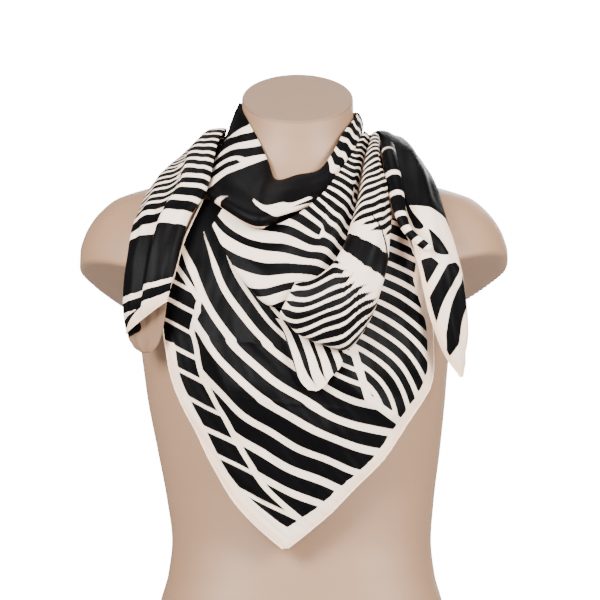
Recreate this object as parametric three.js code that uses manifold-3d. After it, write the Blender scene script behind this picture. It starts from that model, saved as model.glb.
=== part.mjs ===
// A silk square scarf worn as a bandana on a limbless torso display form.
// Millimetres, +Z up, the front faces -Y. The origin is the middle of the form's flat base.
import * as THREE from "three";
import { mergeVertices } from "three/addons/utils/BufferGeometryUtils.js";
import Module from "manifold-3d";

const wasm = await Module();
wasm.setup();

// Driving dimensions
const CLOTH = 1.4; // wall of the cloth
const CLEAR = 0.6; // least gap between the cloth and the form
const SOFT = 1.2; // how softly the cloth comes to rest on the form
const FAR = 6; // cloth more than this many times SOFT from the form is left alone
const PASSES = 3; // how often a point that is still too near is moved out again
const NECK_CUT_HEIGHT = 687.5; // middle of the sloping neck cap
const NECK_CUT_TILT = 24; // degrees, down towards the front
const NECK_CUT_Y = 4; // where the cap has its middle height
const TRUNK_HALF_WIDTH = 166; // the chest between the flats under the shoulder caps
const STUMP_NORMAL = [0.374, -0.282, -0.883]; // the way that flat faces on the right side
const FORM_SIDES = 44;
const HANG_FROM = 455; // below this the cloth hangs more upright than the chest
const HANG_FOLLOW = 0.25; // the share of the body's narrowing that it still follows
const BIG = 600; // side of the blocks that trim the form
const GRADIENT_STEP = 0.5; // how far apart the form's slope is measured
const SLOPE_STEP = 0.01; // the same along a piece, as a share of its length
const LEAST_REST = 0.02; // keeps the chest's edge from a division by nothing
const MERGE_DISTANCE = 1e-3; // points nearer than this are one point
const RIGHT_ANGLE = 90;

const rad = (degrees) => (degrees * Math.PI) / 180;
const mix = (a, b, t) => a + (b - a) * t;
const clamp = (v, low, high) => Math.min(high, Math.max(low, v));

// A table's rows of numbers, as objects with the named columns.
function table(columns, rows) {
  const names = columns.split(" ");
  return rows.map((row) => Object.fromEntries(names.map((name, i) => [name, row[i]])));
}

// The torso's level rings, from the base to above the neck's cut.
const FORM_RINGS = table("z aside halfWidth halfDepth middle square", [
  [0, 0, 162, 112, 4, 2.3],
  [45, 0, 164, 112, 4, 2.3],
  [100, 1, 160, 109, 3, 2.3],
  [150, 2.5, 150.3, 104, 2, 2.3],
  [178, 2.6, 142.5, 101, 2, 2.3],
  [214, 2.7, 138.6, 98, 2, 2.3],
  [257, 1.6, 142.8, 99, 1, 2.3],
  [310, -0.2, 151, 105, 0, 2.3],
  [364, -2.7, 159, 112, -2, 2.3],
  [405, -3.8, 163.5, 119, -4, 2.35],
  [432, -4.2, 168, 121, -4, 2.4],
  [450, -4.6, 188, 122, -4, 2.45],
  [466, -5, 205, 121, -3, 2.55],
  [486, -5.2, 219, 119, -2, 2.6],
  [505, -5.4, 229, 116, 0, 2.6],
  [522, -5.4, 228.5, 111, 1, 2.6],
  [540, -5.4, 223.5, 105, 3, 2.6],
  [556, -5.4, 214.5, 98, 4, 2.6],
  [569, -5.2, 203, 92, 6, 2.5],
  [579, -5, 190, 86, 7, 2.4],
  [587, -4.8, 168, 81, 8, 2.4],
  [594, -4.6, 142, 78, 9, 2.3],
  [603, -4.2, 112, 74, 10, 2.2],
  [614, -3.6, 89, 70, 10, 2.1],
  [628, -3, 73, 67, 9, 2],
  [645, -2.3, 64, 65, 8, 2],
  [668, -1.6, 60, 64, 6, 2],
  [730, -1.5, 59, 64, 3, 2],
]);

// A point on the flat under each shoulder cap.
const STUMPS = table("side x y z", [
  [-1, 184, 60, 460],
  [1, 152, 60, 460],
]);

// A smooth value of one column at height z that never overshoots its rows.
function ringValue(column, z) {
  const rows = FORM_RINGS;
  const last = rows.length - 1;
  if (z <= rows[0].z) return rows[0][column];
  if (z >= rows[last].z) return rows[last][column];
  let i = 0;
  while (rows[i + 1].z < z) i++;
  const slope = (k) => (rows[k + 1][column] - rows[k][column]) / (rows[k + 1].z - rows[k].z);
  const tangent = (k) => {
    if (k === 0 || k === last) return 0;
    const before = slope(k - 1);
    const after = slope(k);
    return before * after <= 0 ? 0 : (2 * before * after) / (before + after);
  };
  const span = rows[i + 1].z - rows[i].z;
  const t = (z - rows[i].z) / span;
  const t2 = t * t;
  const t3 = t2 * t;
  return (
    rows[i][column] * (2 * t3 - 3 * t2 + 1) +
    rows[i + 1][column] * (3 * t2 - 2 * t3) +
    span * (tangent(i) * (t3 - 2 * t2 + t) + tangent(i + 1) * (t3 - t2))
  );
}

function ringAt(z) {
  return {
    aside: ringValue("aside", z),
    halfWidth: ringValue("halfWidth", z),
    halfDepth: ringValue("halfDepth", z),
    middle: ringValue("middle", z),
    square: ringValue("square", z),
  };
}

// How far out a point is, as a share of the ring it is level with: 1 on the form's skin.
function share(x, y, z) {
  const ring = ringAt(z);
  const across = Math.abs((x - ring.aside) / ring.halfWidth) ** ring.square;
  const deep = Math.abs((y - ring.middle) / ring.halfDepth) ** ring.square;
  return (across + deep) ** (1 / ring.square);
}

// The distance from the form's skin, near it, and the way out.
function fromForm(p) {
  const step = GRADIENT_STEP;
  const here = share(p.x, p.y, p.z);
  const gradient = new THREE.Vector3(
    share(p.x + step, p.y, p.z) - share(p.x - step, p.y, p.z),
    share(p.x, p.y + step, p.z) - share(p.x, p.y - step, p.z),
    share(p.x, p.y, p.z + step) - share(p.x, p.y, p.z - step),
  ).divideScalar(2 * step);
  const steepness = Math.max(gradient.length(), 1e-6);
  return { distance: (here - 1) / steepness, out: gradient.divideScalar(steepness) };
}

// Moves a point out until it is at least this far from the form, with a soft start.
function keepOff(p, least) {
  const start = fromForm(p);
  const spare = (start.distance - least) / SOFT;
  if (spare < FAR) {
    const wanted = least + SOFT * Math.log1p(Math.exp(spare));
    p.addScaledVector(start.out, wanted - start.distance);
  }
  for (let pass = 0; pass < PASSES; pass++) {
    const { distance, out } = fromForm(p);
    if (distance < least) p.addScaledVector(out, least - distance);
  }
  return p;
}

// How far forward the cloth lies on the chest at x, z: it hangs below the chest's fullest part.
function chestFront(x, z) {
  const ring = ringAt(Math.max(z, HANG_FROM));
  if (z < HANG_FROM) {
    const lower = ringAt(z);
    ring.halfWidth = mix(ring.halfWidth, lower.halfWidth, HANG_FOLLOW);
    ring.halfDepth = mix(ring.halfDepth, lower.halfDepth, HANG_FOLLOW);
  }
  const rest = Math.max(LEAST_REST, 1 - Math.abs((x - ring.aside) / ring.halfWidth) ** ring.square);
  return ring.middle - ring.halfDepth * rest ** (1 / ring.square);
}

// A closed mesh from points and triangles, turned to face out.
function closedGeometry(points, triangles) {
  let volume = 0;
  for (const [a, b, c] of triangles) volume += points[a].dot(points[b].clone().cross(points[c]));
  const faces = volume < 0 ? triangles.map(([a, b, c]) => [a, c, b]) : triangles;
  const geometry = new THREE.BufferGeometry();
  geometry.setAttribute(
    "position",
    new THREE.Float32BufferAttribute(points.flatMap((p) => [p.x, p.y, p.z]), 3),
  );
  geometry.setIndex(faces.flat());
  return geometry;
}

function solidOf(geometry) {
  const bare = geometry.clone();
  bare.deleteAttribute("normal");
  bare.deleteAttribute("uv");
  const merged = mergeVertices(bare, MERGE_DISTANCE);
  return new wasm.Manifold(
    new wasm.Mesh({
      numProp: 3,
      vertProperties: new Float32Array(merged.attributes.position.array),
      triVerts: new Uint32Array(merged.index.array),
    }),
  );
}

function geometryOf(solid) {
  const mesh = solid.getMesh();
  const geometry = new THREE.BufferGeometry();
  geometry.setAttribute("position", new THREE.BufferAttribute(mesh.vertProperties, 3));
  geometry.setIndex(new THREE.BufferAttribute(mesh.triVerts, 1));
  return geometry;
}

// A block whose bottom face passes through a point and faces against the normal.
function trimBlock(point, normal) {
  const block = new THREE.BoxGeometry(BIG, BIG, BIG);
  const turn = new THREE.Quaternion().setFromUnitVectors(new THREE.Vector3(0, 0, 1), normal);
  const centre = point.clone().addScaledVector(normal, BIG / 2);
  block.applyMatrix4(new THREE.Matrix4().compose(centre, turn, new THREE.Vector3(1, 1, 1)));
  return solidOf(block);
}

// A solid lofted through the form's rings, none of them wider than the limit.
function loftSolid(widest) {
  const points = [];
  const triangles = [];
  const levels = FORM_RINGS.map((ring) => ring.z);
  for (const z of levels) {
    const ring = ringAt(z);
    const halfWidth = Math.min(ring.halfWidth, widest);
    for (let k = 0; k < FORM_SIDES; k++) {
      const angle = (2 * Math.PI * k) / FORM_SIDES;
      const power = (v) => Math.sign(v) * Math.abs(v) ** (2 / ring.square);
      const x = ring.aside + halfWidth * power(Math.cos(angle));
      const y = ring.middle + ring.halfDepth * power(Math.sin(angle));
      points.push(new THREE.Vector3(x, y, z));
    }
  }
  for (let i = 0; i < levels.length - 1; i++) {
    for (let k = 0; k < FORM_SIDES; k++) {
      const next = (k + 1) % FORM_SIDES;
      const a = i * FORM_SIDES + k;
      const b = i * FORM_SIDES + next;
      triangles.push([a, b, b + FORM_SIDES], [a, b + FORM_SIDES, a + FORM_SIDES]);
    }
  }
  const ends = [0, levels.length - 1];
  for (const level of ends) {
    const hub = points.length;
    const ring = ringAt(levels[level]);
    points.push(new THREE.Vector3(ring.aside, ring.middle, levels[level]));
    for (let k = 0; k < FORM_SIDES; k++) {
      const a = level * FORM_SIDES + k;
      const b = level * FORM_SIDES + ((k + 1) % FORM_SIDES);
      triangles.push(level === 0 ? [hub, b, a] : [hub, a, b]);
    }
  }
  return solidOf(closedGeometry(points, triangles));
}

// The torso: shoulder caps trimmed flat below, on a trunk, under a neck that is trimmed too.
function formGeometry() {
  let solid = loftSolid(Infinity);
  for (const stump of STUMPS) {
    const normal = new THREE.Vector3(stump.side * STUMP_NORMAL[0], STUMP_NORMAL[1], STUMP_NORMAL[2]);
    const point = new THREE.Vector3(stump.side * stump.x, stump.y, stump.z);
    solid = solid.subtract(trimBlock(point, normal.normalize()).intersect(sideBlock(stump.side)));
  }
  const tilt = rad(NECK_CUT_TILT);
  const neckNormal = new THREE.Vector3(0, -Math.sin(tilt), Math.cos(tilt));
  solid = solid.add(loftSolid(TRUNK_HALF_WIDTH));
  return geometryOf(
    solid.subtract(trimBlock(new THREE.Vector3(0, NECK_CUT_Y, NECK_CUT_HEIGHT), neckNormal)),
  );
}

// One side's half of space, so that a shoulder's trim leaves the other shoulder alone.
function sideBlock(side) {
  const block = new THREE.BoxGeometry(BIG, BIG, BIG);
  block.translate((side * BIG) / 2, 0, BIG / 2);
  return solidOf(block);
}

// The rows' columns at s from 0 to 1, on a smooth curve through every row.
function rowAt(rows, s) {
  const last = rows.length - 1;
  const place = clamp(s, 0, 1) * last;
  const i = Math.min(Math.floor(place), last - 1);
  const t = place - i;
  const pick = (k) => rows[clamp(k, 0, last)];
  const made = {};
  for (const name of Object.keys(rows[0])) {
    const [p, q, r, w] = [pick(i - 1), pick(i), pick(i + 1), pick(i + 2)].map((row) => row[name]);
    made[name] =
      q + 0.5 * t * (r - p + t * (2 * p - 5 * q + 4 * r - w + t * (3 * (q - r) + w - p)));
  }
  return made;
}

// The height of the lengthwise pleats at one place on a piece.
function pleats(list, s, across) {
  let height = 0;
  for (const pleat of list) {
    const middle = mix(pleat.from, pleat.to, s);
    const fade = Math.sqrt(Math.sin(Math.PI * clamp(s, 0, 1)));
    height += pleat.height * fade * Math.exp(-(((across - middle) / pleat.width) ** 2));
  }
  return height;
}

// A stretch of cloth between two edges a and b, whose section is an arch that rolls under.
// rollA and rollB are how far the arch turns at each edge, in degrees, and 90 is square to it.
function archedPoint(piece, s, t) {
  const row = rowAt(piece.rows, s);
  const step = SLOPE_STEP;
  const middleAt = (at) => {
    const r = rowAt(piece.rows, at);
    return new THREE.Vector3(r.ax + r.bx, r.ay + r.by, r.az + r.bz).multiplyScalar(0.5);
  };
  const a = new THREE.Vector3(row.ax, row.ay, row.az);
  const b = new THREE.Vector3(row.bx, row.by, row.bz);
  const along = middleAt(Math.min(1, s + step)).sub(middleAt(Math.max(0, s - step)));
  const out = along.cross(b.clone().sub(a)).normalize().multiplyScalar(piece.facing);
  const angle = rad(mix(-piece.rollA, piece.rollB, t));
  const power = (v) => Math.sign(v) * Math.abs(v) ** (2 / piece.square);
  const endA = rad(Math.min(piece.rollA, RIGHT_ANGLE));
  const endB = rad(Math.min(piece.rollB, RIGHT_ANGLE));
  const reachA = power(Math.sin(endA));
  const reachB = power(Math.sin(endB));
  const across = (power(Math.sin(angle)) + reachA) / (reachA + reachB);
  const floor = mix(power(Math.cos(endA)), power(Math.cos(endB)), across);
  const height = row.bulge * (power(Math.cos(angle)) - floor) + pleats(piece.pleats, s, across);
  return keepOff(a.lerp(b, across).addScaledVector(out, height), piece.least);
}

// A stretch of cloth that lies on the chest: its rows give both edges from the front, and its
// lift off the chest, and its ridges are lines on the chest.
function chestPoint(piece, s, t) {
  const row = rowAt(piece.rows, s);
  const x = mix(row.ax, row.bx, t);
  const z = mix(row.az, row.bz, t);
  let lift = mix(row.liftA, row.liftB, t) + row.belly * Math.sin(Math.PI * t);
  for (const ridge of piece.ridges) {
    const dx = ridge.x1 - ridge.x0;
    const dz = ridge.z1 - ridge.z0;
    const along = ((x - ridge.x0) * dx + (z - ridge.z0) * dz) / (dx * dx + dz * dz);
    const near = clamp(along, 0, 1);
    const off = Math.hypot(x - ridge.x0 - near * dx, z - ridge.z0 - near * dz);
    lift += ridge.height * Math.exp(-((off / ridge.width) ** 2));
  }
  return keepOff(new THREE.Vector3(x, chestFront(x, z) - lift, z), piece.least);
}

// The wall of cloth on both sides of a piece's middle surface.
function clothGeometry(piece) {
  const { steps, strips } = piece;
  const pointAt = piece.ridges ? chestPoint : archedPoint;
  const middle = [];
  for (let i = 0; i <= steps; i++) {
    middle.push([]);
    for (let k = 0; k <= strips; k++) middle[i].push(pointAt(piece, i / steps, k / strips));
  }
  const skins = [[], []];
  for (let i = 0; i <= steps; i++) {
    for (let k = 0; k <= strips; k++) {
      const along = middle[Math.min(i + 1, steps)][k].clone().sub(middle[Math.max(i - 1, 0)][k]);
      const over = middle[i][Math.min(k + 1, strips)].clone().sub(middle[i][Math.max(k - 1, 0)]);
      const normal = along.cross(over).normalize().multiplyScalar(CLOTH / 2);
      skins[0].push(middle[i][k].clone().add(normal));
      skins[1].push(middle[i][k].clone().sub(normal));
    }
  }
  const index = (skin, i, k) => skin * skins[0].length + i * (strips + 1) + k;
  const triangles = [];
  const quad = (a, b, c, d) => triangles.push([a, b, c], [a, c, d]);
  for (let i = 0; i < steps; i++) {
    for (let k = 0; k < strips; k++) {
      quad(index(0, i, k), index(0, i + 1, k), index(0, i + 1, k + 1), index(0, i, k + 1));
      quad(index(1, i, k), index(1, i, k + 1), index(1, i + 1, k + 1), index(1, i + 1, k));
    }
    quad(index(0, i, 0), index(1, i, 0), index(1, i + 1, 0), index(0, i + 1, 0));
    quad(index(0, i, strips), index(0, i + 1, strips), index(1, i + 1, strips), index(1, i, strips));
  }
  for (let k = 0; k < strips; k++) {
    quad(index(0, 0, k), index(0, 0, k + 1), index(1, 0, k + 1), index(1, 0, k));
    quad(index(0, steps, k), index(1, steps, k), index(1, steps, k + 1), index(0, steps, k + 1));
  }
  return closedGeometry([...skins[0], ...skins[1]], triangles);
}

const EDGES = "ax ay az bx by bz bulge";
const LEAST = CLOTH / 2 + CLEAR;
const OVER_BIB = 9; // the cowls' least distance from the form, clear of the triangle below

// The hanging triangle, from under the cowls down to its point. a is the left edge.
const BIB = {
  steps: 24,
  strips: 16,
  least: LEAST,
  rows: table("ax az bx bz liftA liftB belly", [
    [-101, 576, 104, 556, 1.5, 3, 0],
    [-119.5, 535, 117, 530, 0, 0, 0],
    [-131, 495, 127, 503, -2, -2, 0],
    [-141, 462, 134, 474, -2, -2, 2],
    [-143, 438, 141, 444, 0, 2, 6.5],
    [-139, 415, 142, 417, 3, 4, 9],
    [-133, 387, 141, 393, 5, 6, 12],
    [-122, 360, 133, 370, 6, 6, 12],
    [-107, 331, 115, 343, 6, 6, 11],
    [-90, 297, 89, 304, 6, 6, 9],
    [-71, 264, 59, 274, 6, 6, 7],
    [-47, 236, 26, 241, 6, 6, 4],
    [-17, 210, -12, 210.5, 6, 6, 0],
  ]),
  ridges: table("x0 z0 x1 z1 width height", [
    [-112, 500, -62, 350, 20, 6],
    [-52, 380, 20, 330, 18, 5],
    [122, 520, 128, 400, 10, 8],
    [44, 388, 96, 350, 10, 6],
  ]),
};

// The pouch where the low cowl turns back to the triangle.
const COWL_POUCH = {
  steps: 8,
  strips: 8,
  least: OVER_BIB,
  facing: -1,
  rollA: 70,
  rollB: 70,
  square: 2,
  pleats: [],
  rows: table(EDGES, [
    [-26, -138, 452, 50, -138, 436, 3],
    [-17, -140, 438, 46, -139, 421, 3],
    [-10, -147, 418, 44, -149, 402, 3],
    [-3, -151, 396, 33, -152, 390, 3],
    [3, -151.6, 384, 27, -151.6, 380.5, 2.5],
    [10, -151.6, 377, 18, -151.6, 376, 1],
  ]),
};

// The low cowl: a full roll from the right of the neck, down and across to the middle.
const COWL_LOW = {
  steps: 20,
  strips: 10,
  least: OVER_BIB,
  facing: -1,
  rollA: 95,
  rollB: 112,
  square: 2.3,
  pleats: table("from to width height", [[0.62, 0.35, 0.12, 2.5]]),
  rows: table(EDGES, [
    [-4, -146, 489, -20, -146, 457, 3],
    [10, -146, 491, -1, -149, 436, 9],
    [24, -145, 499, 23, -150, 425, 13],
    [38, -143, 513, 52, -147, 419, 17],
    [49, -139, 532, 74, -141, 450, 20],
    [56, -132, 553, 87, -132, 488, 20],
    [62, -122, 574, 92, -122, 525, 18],
    [67, -101, 602, 92, -106, 561, 14],
    [72, -68, 628, 82, -74, 607, 9],
    [78, -24, 648, 84, -26, 637, 5],
  ]),
};

// The high cowl: from the left lip, across the middle, and up to the right of the neck.
const COWL_HIGH = {
  steps: 22,
  strips: 10,
  least: OVER_BIB,
  facing: -1,
  rollA: 50,
  rollB: 105,
  square: 2.4,
  pleats: [],
  rows: table(EDGES, [
    [-76, -89, 570, -90, -95, 544, 3],
    [-62, -96, 557, -78, -110, 520, 7],
    [-46, -102, 549, -58, -126, 490, 10],
    [-28, -107, 549.5, -30, -136, 464, 11],
    [-8, -116, 557.5, 8, -134, 468, 11],
    [12, -116, 571, 36, -124, 493, 11],
    [29, -105, 588, 54, -110, 540, 10],
    [44, -84, 609, 60, -90, 582, 8],
    [58, -54, 629, 67, -56, 614, 5],
    [69, -16, 651, 75, -16, 643, 3],
  ]),
};

// The collar: the folded top edge round the front of the neck, with a lip below.
const COLLAR = {
  steps: 22,
  strips: 8,
  least: LEAST,
  facing: -1,
  rollA: 60,
  rollB: 112,
  square: 2.6,
  pleats: [],
  rows: table(EDGES, [
    [-62, 2, 682, -75, 2, 646, 3],
    [-53, -27, 662, -91, -30, 613, 5],
    [-41, -49, 637, -97, -68, 584.5, 7],
    [-32, -64, 616, -80, -104, 568, 9],
    [-24, -75, 598, -44, -126, 549, 10],
    [-2, -78, 603, -13, -107, 560, 7],
    [21, -73, 608.5, 24, -94, 577, 5],
    [35, -62, 626, 47, -74, 600, 4],
    [48, -38, 650, 63, -40, 629, 3],
    [63, 0, 671, 68, 0, 656, 2],
  ]),
};

// The stretches behind the neck cross at the nape, and each becomes the far side's tail.
const NAPE_OVER = {
  steps: 16,
  strips: 7,
  least: LEAST,
  facing: 1,
  rollA: 85,
  rollB: 95,
  square: 2.2,
  pleats: table("from to width height", [
    [0.3, 0.3, 0.12, 3],
    [0.7, 0.68, 0.12, 3],
  ]),
  rows: table(EDGES, [
    [-62, 2.5, 682, -75, 2.5, 646, 3],
    [-54, 42, 681, -70, 52, 636, 5],
    [-28, 76, 671, -38, 92, 624, 7],
    [4, 87, 662, 2, 104, 612, 8],
    [36, 79, 655, 50, 99, 603, 8],
    [59, 65, 650, 92, 80, 600, 8],
    [73, 51, 648.5, 112, 62, 607, 8],
    [76, 40, 648, 116, 50, 612, 8],
  ]),
};
const NAPE_UNDER = {
  steps: 16,
  strips: 6,
  least: LEAST,
  facing: -1,
  rollA: 85,
  rollB: 92,
  square: 2.2,
  pleats: table("from to width height", [[0.5, 0.5, 0.16, 3]]),
  rows: table(EDGES, [
    [63, 0.5, 671, 68, 0.5, 656, 2],
    [54, 40, 672, 62, 46, 644, 3],
    [28, 66, 666, 34, 72, 632, 4],
    [-2, 75, 654, -4, 82, 618, 4],
    [-36, 72, 634, -50, 84, 600, 5],
    [-64, 63, 624, -90, 76, 592, 6],
    [-80, 51, 632, -111, 60, 605, 7.5],
    [-82, 40, 637, -114, 48, 612, 8],
  ]),
};

// The left tail: over the shoulder and down the front, in two long pleats.
const TAIL_LEFT = {
  steps: 20,
  strips: 12,
  least: LEAST,
  facing: -1,
  rollA: 85,
  rollB: 92,
  square: 2.2,
  pleats: table("from to width height", [
    [0.3, 0.34, 0.14, 5],
    [0.78, 0.76, 0.14, 4],
  ]),
  rows: table(EDGES, [
    [-82, 39.5, 637.2, -114, 47.5, 612.2, 8],
    [-78, 8, 653, -112, 8, 628, 7],
    [-86, -22, 640, -134, -18, 606, 9],
    [-91, -52, 617, -157, -46, 586, 11],
    [-98.5, -84, 584, -168, -74, 562, 12],
    [-114, -106, 559, -175, -91, 540, 12],
    [-124, -121, 530, -180, -101, 512, 11],
    [-130, -129, 504, -183, -105, 482, 10],
    [-134, -131, 487, -184, -106, 457, 9],
    [-138, -130, 470, -181, -107, 436, 6],
  ]),
};
const TAIL_LEFT_UNDER = {
  steps: 7,
  strips: 5,
  least: LEAST,
  facing: -1,
  rollA: 30,
  rollB: 60,
  square: 2,
  pleats: [],
  rows: table(EDGES, [
    [-131.5, -128, 500, -174, -105, 488, 3],
    [-138, -122, 472, -179, -101, 462, 4],
    [-142, -118, 444, -181, -98, 440, 4],
    [-148, -114, 424, -175, -100, 423, 3],
    [-156, -110, 415.5, -166, -104, 415.5, 2],
  ]),
};

// The right tail: over the other shoulder, down to the corner of the square.
const TAIL_RIGHT = {
  steps: 22,
  strips: 10,
  least: LEAST,
  facing: 1,
  rollA: 85,
  rollB: 95,
  square: 2.2,
  pleats: table("from to width height", [[0.55, 0.5, 0.18, 4]]),
  rows: table(EDGES, [
    [76.1, 39.5, 648.1, 116.1, 49.5, 612.2, 8],
    [84, 8, 652, 122, 6, 622, 8],
    [91, -26, 642, 136, -25, 604, 9],
    [98, -56, 620, 146, -52, 584, 10],
    [104.5, -82, 592, 153, -76, 562, 10],
    [111, -106, 562, 158, -94, 545, 10],
    [119, -122, 532, 165, -106, 522, 9],
    [127, -130, 500, 173, -111, 492, 8],
    [138, -128, 455, 176, -112, 455, 7],
    [152, -122, 416, 176, -113, 420, 5],
    [170, -115.4, 390, 171.6, -114.8, 390.2, 0],
  ]),
};
const TAIL_RIGHT_ROLL = {
  steps: 14,
  strips: 7,
  least: LEAST,
  facing: 1,
  rollA: 120,
  rollB: 120,
  square: 2,
  pleats: [],
  rows: table(EDGES, [
    [87, -53, 639, 101, -55, 632, 5],
    [89, -76, 621, 104, -78, 613, 7],
    [93.5, -100, 595, 108, -102, 588, 7],
    [99.5, -122, 567, 112, -122, 563, 6],
    [107.5, -134, 545, 118, -134, 546, 5],
    [121, -140, 530, 130, -138, 535, 4],
    [134, -140, 521, 140, -138, 527, 3],
  ]),
};

const SILK = new THREE.MeshStandardMaterial({ color: 0x2b2a2e, roughness: 0.4, metalness: 0 });
const SILK_PALE = new THREE.MeshStandardMaterial({ color: 0xeadfd6, roughness: 0.4, metalness: 0 });
const FORM_SKIN = new THREE.MeshStandardMaterial({ color: 0xc8b3a4, roughness: 0.6, metalness: 0 });

const PIECES = {
  bib: [BIB, SILK],
  cowl_pouch: [COWL_POUCH, SILK_PALE],
  cowl_low: [COWL_LOW, SILK],
  cowl_high: [COWL_HIGH, SILK],
  collar: [COLLAR, SILK],
  nape_over: [NAPE_OVER, SILK],
  nape_under: [NAPE_UNDER, SILK],
  tail_left: [TAIL_LEFT, SILK],
  tail_left_under: [TAIL_LEFT_UNDER, SILK_PALE],
  tail_right: [TAIL_RIGHT, SILK],
  tail_right_roll: [TAIL_RIGHT_ROLL, SILK],
};

const scarfOnForm = new THREE.Group();
const form = new THREE.Mesh(formGeometry(), FORM_SKIN);
form.name = "form";
scarfOnForm.add(form);
for (const [name, [piece, material]] of Object.entries(PIECES)) {
  const mesh = new THREE.Mesh(clothGeometry(piece), material);
  mesh.name = name;
  scarfOnForm.add(mesh);
}

export default scarfOnForm;
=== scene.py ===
"""A silk square scarf wound on a limbless display torso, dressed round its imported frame."""

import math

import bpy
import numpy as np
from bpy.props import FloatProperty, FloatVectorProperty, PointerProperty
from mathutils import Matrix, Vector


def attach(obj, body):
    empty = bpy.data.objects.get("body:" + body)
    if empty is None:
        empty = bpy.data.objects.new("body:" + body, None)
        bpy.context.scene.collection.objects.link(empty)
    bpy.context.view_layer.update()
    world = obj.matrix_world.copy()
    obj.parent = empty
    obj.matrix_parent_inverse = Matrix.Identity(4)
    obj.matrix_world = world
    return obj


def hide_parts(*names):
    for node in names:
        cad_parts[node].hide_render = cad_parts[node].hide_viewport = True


bl_info = {
    "name": "Silk Square Scarf on a Torso Form",
    "version": (1, 0, 0),
    "blender": (4, 5, 0),
    "location": "3D View > Sidebar > Scarf",
    "description": "Printed silk, rolled hems, a smooth display form and a plain stage",
    "category": "Object",
}

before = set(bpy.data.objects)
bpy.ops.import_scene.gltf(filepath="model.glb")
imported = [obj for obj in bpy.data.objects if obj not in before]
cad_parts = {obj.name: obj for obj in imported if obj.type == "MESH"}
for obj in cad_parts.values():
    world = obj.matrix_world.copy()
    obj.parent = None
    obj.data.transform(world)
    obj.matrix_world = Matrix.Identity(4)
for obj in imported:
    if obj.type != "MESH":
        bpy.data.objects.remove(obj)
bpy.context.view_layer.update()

MM = 0.001  # the tables below are in millimetres, and Blender is in metres
TAU = 2 * math.pi

# The photograph's frame: one of its pixels covers this many millimetres of the object.
PHOTO_PIXELS = 600
PIXEL = 1.07
AIM_X = 1.07
AIM_Z = 470.8
CAMERA_DISTANCE = 6000
SENSOR = 36.0

# How the cloth comes to rest on the form.
FRAME_CLOTH = 1.4
CLEAR = 0.6
SOFT = 1.2
FAR = 6
PASSES = 3
HANG_FROM = 455
HANG_FOLLOW = 0.25
LEAST = FRAME_CLOTH / 2 + CLEAR
OVER_BIB = 9
RIGHT_ANGLE = 90
SLOPE_STEP = 0.01
GRADIENT_STEP = 0.5

# The display form's trims and the softness of their edges.
NECK_CUT_HEIGHT = 687.5
NECK_CUT_Y = 4
NECK_CUT_TILT = math.radians(24)
NECK_BEND_FROM = 640
TRUNK_HALF_WIDTH = 166
STUMP_NORMAL = (0.374, -0.282, -0.883)
STUMP_EDGE = 3
RIM_EDGE = 2.5
FORM_LEVELS = 230
FORM_SIDES = 256
CAP_RINGS = 14


def table(columns, rows):
    """Rows of numbers, as one array for each named column."""
    names = columns.split()
    return dict(zip(names, np.array(rows, float).reshape(-1, len(names)).T))


def each(columns):
    """The rows of a table one at a time, each with its columns' names."""
    return [dict(zip(columns, row)) for row in zip(*columns.values())]


FORM_RINGS = table("z aside halfWidth halfDepth middle square", [
    [0, 0, 162, 112, 4, 2.3],
    [45, 0, 164, 112, 4, 2.3],
    [100, 1, 160, 109, 3, 2.3],
    [150, 2.5, 150.3, 104, 2, 2.3],
    [178, 2.6, 142.5, 101, 2, 2.3],
    [214, 2.7, 138.6, 98, 2, 2.3],
    [257, 1.6, 142.8, 99, 1, 2.3],
    [310, -0.2, 151, 105, 0, 2.3],
    [364, -2.7, 159, 112, -2, 2.3],
    [405, -3.8, 163.5, 119, -4, 2.35],
    [432, -4.2, 168, 121, -4, 2.4],
    [450, -4.6, 188, 122, -4, 2.45],
    [466, -5, 205, 121, -3, 2.55],
    [486, -5.2, 219, 119, -2, 2.6],
    [505, -5.4, 229, 116, 0, 2.6],
    [522, -5.4, 228.5, 111, 1, 2.6],
    [540, -5.4, 223.5, 105, 3, 2.6],
    [556, -5.4, 214.5, 98, 4, 2.6],
    [569, -5.2, 203, 92, 6, 2.5],
    [579, -5, 190, 86, 7, 2.4],
    [587, -4.8, 168, 81, 8, 2.4],
    [594, -4.6, 142, 78, 9, 2.3],
    [603, -4.2, 112, 74, 10, 2.2],
    [614, -3.6, 89, 70, 10, 2.1],
    [628, -3, 73, 67, 9, 2],
    [645, -2.3, 64, 65, 8, 2],
    [668, -1.6, 60, 64, 6, 2],
    [730, -1.5, 59, 64, 3, 2],
])
STUMPS = table("side x y z", [
    [-1, 184, 60, 460],
    [1, 152, 60, 460],
])

EDGES = "ax ay az bx by bz bulge"
PLEATS = "from to width height"
FOLDS = "s0 t0 s1 t1 width height"
PRINT = "s crossing along share"
FORKS = "s t turn"
DARTS = "s0 t0 s1 t1 from to black"
CREASES = "s0 t0 s1 t1 jog"
LAPS = "t0 t1 shift drop"

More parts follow.
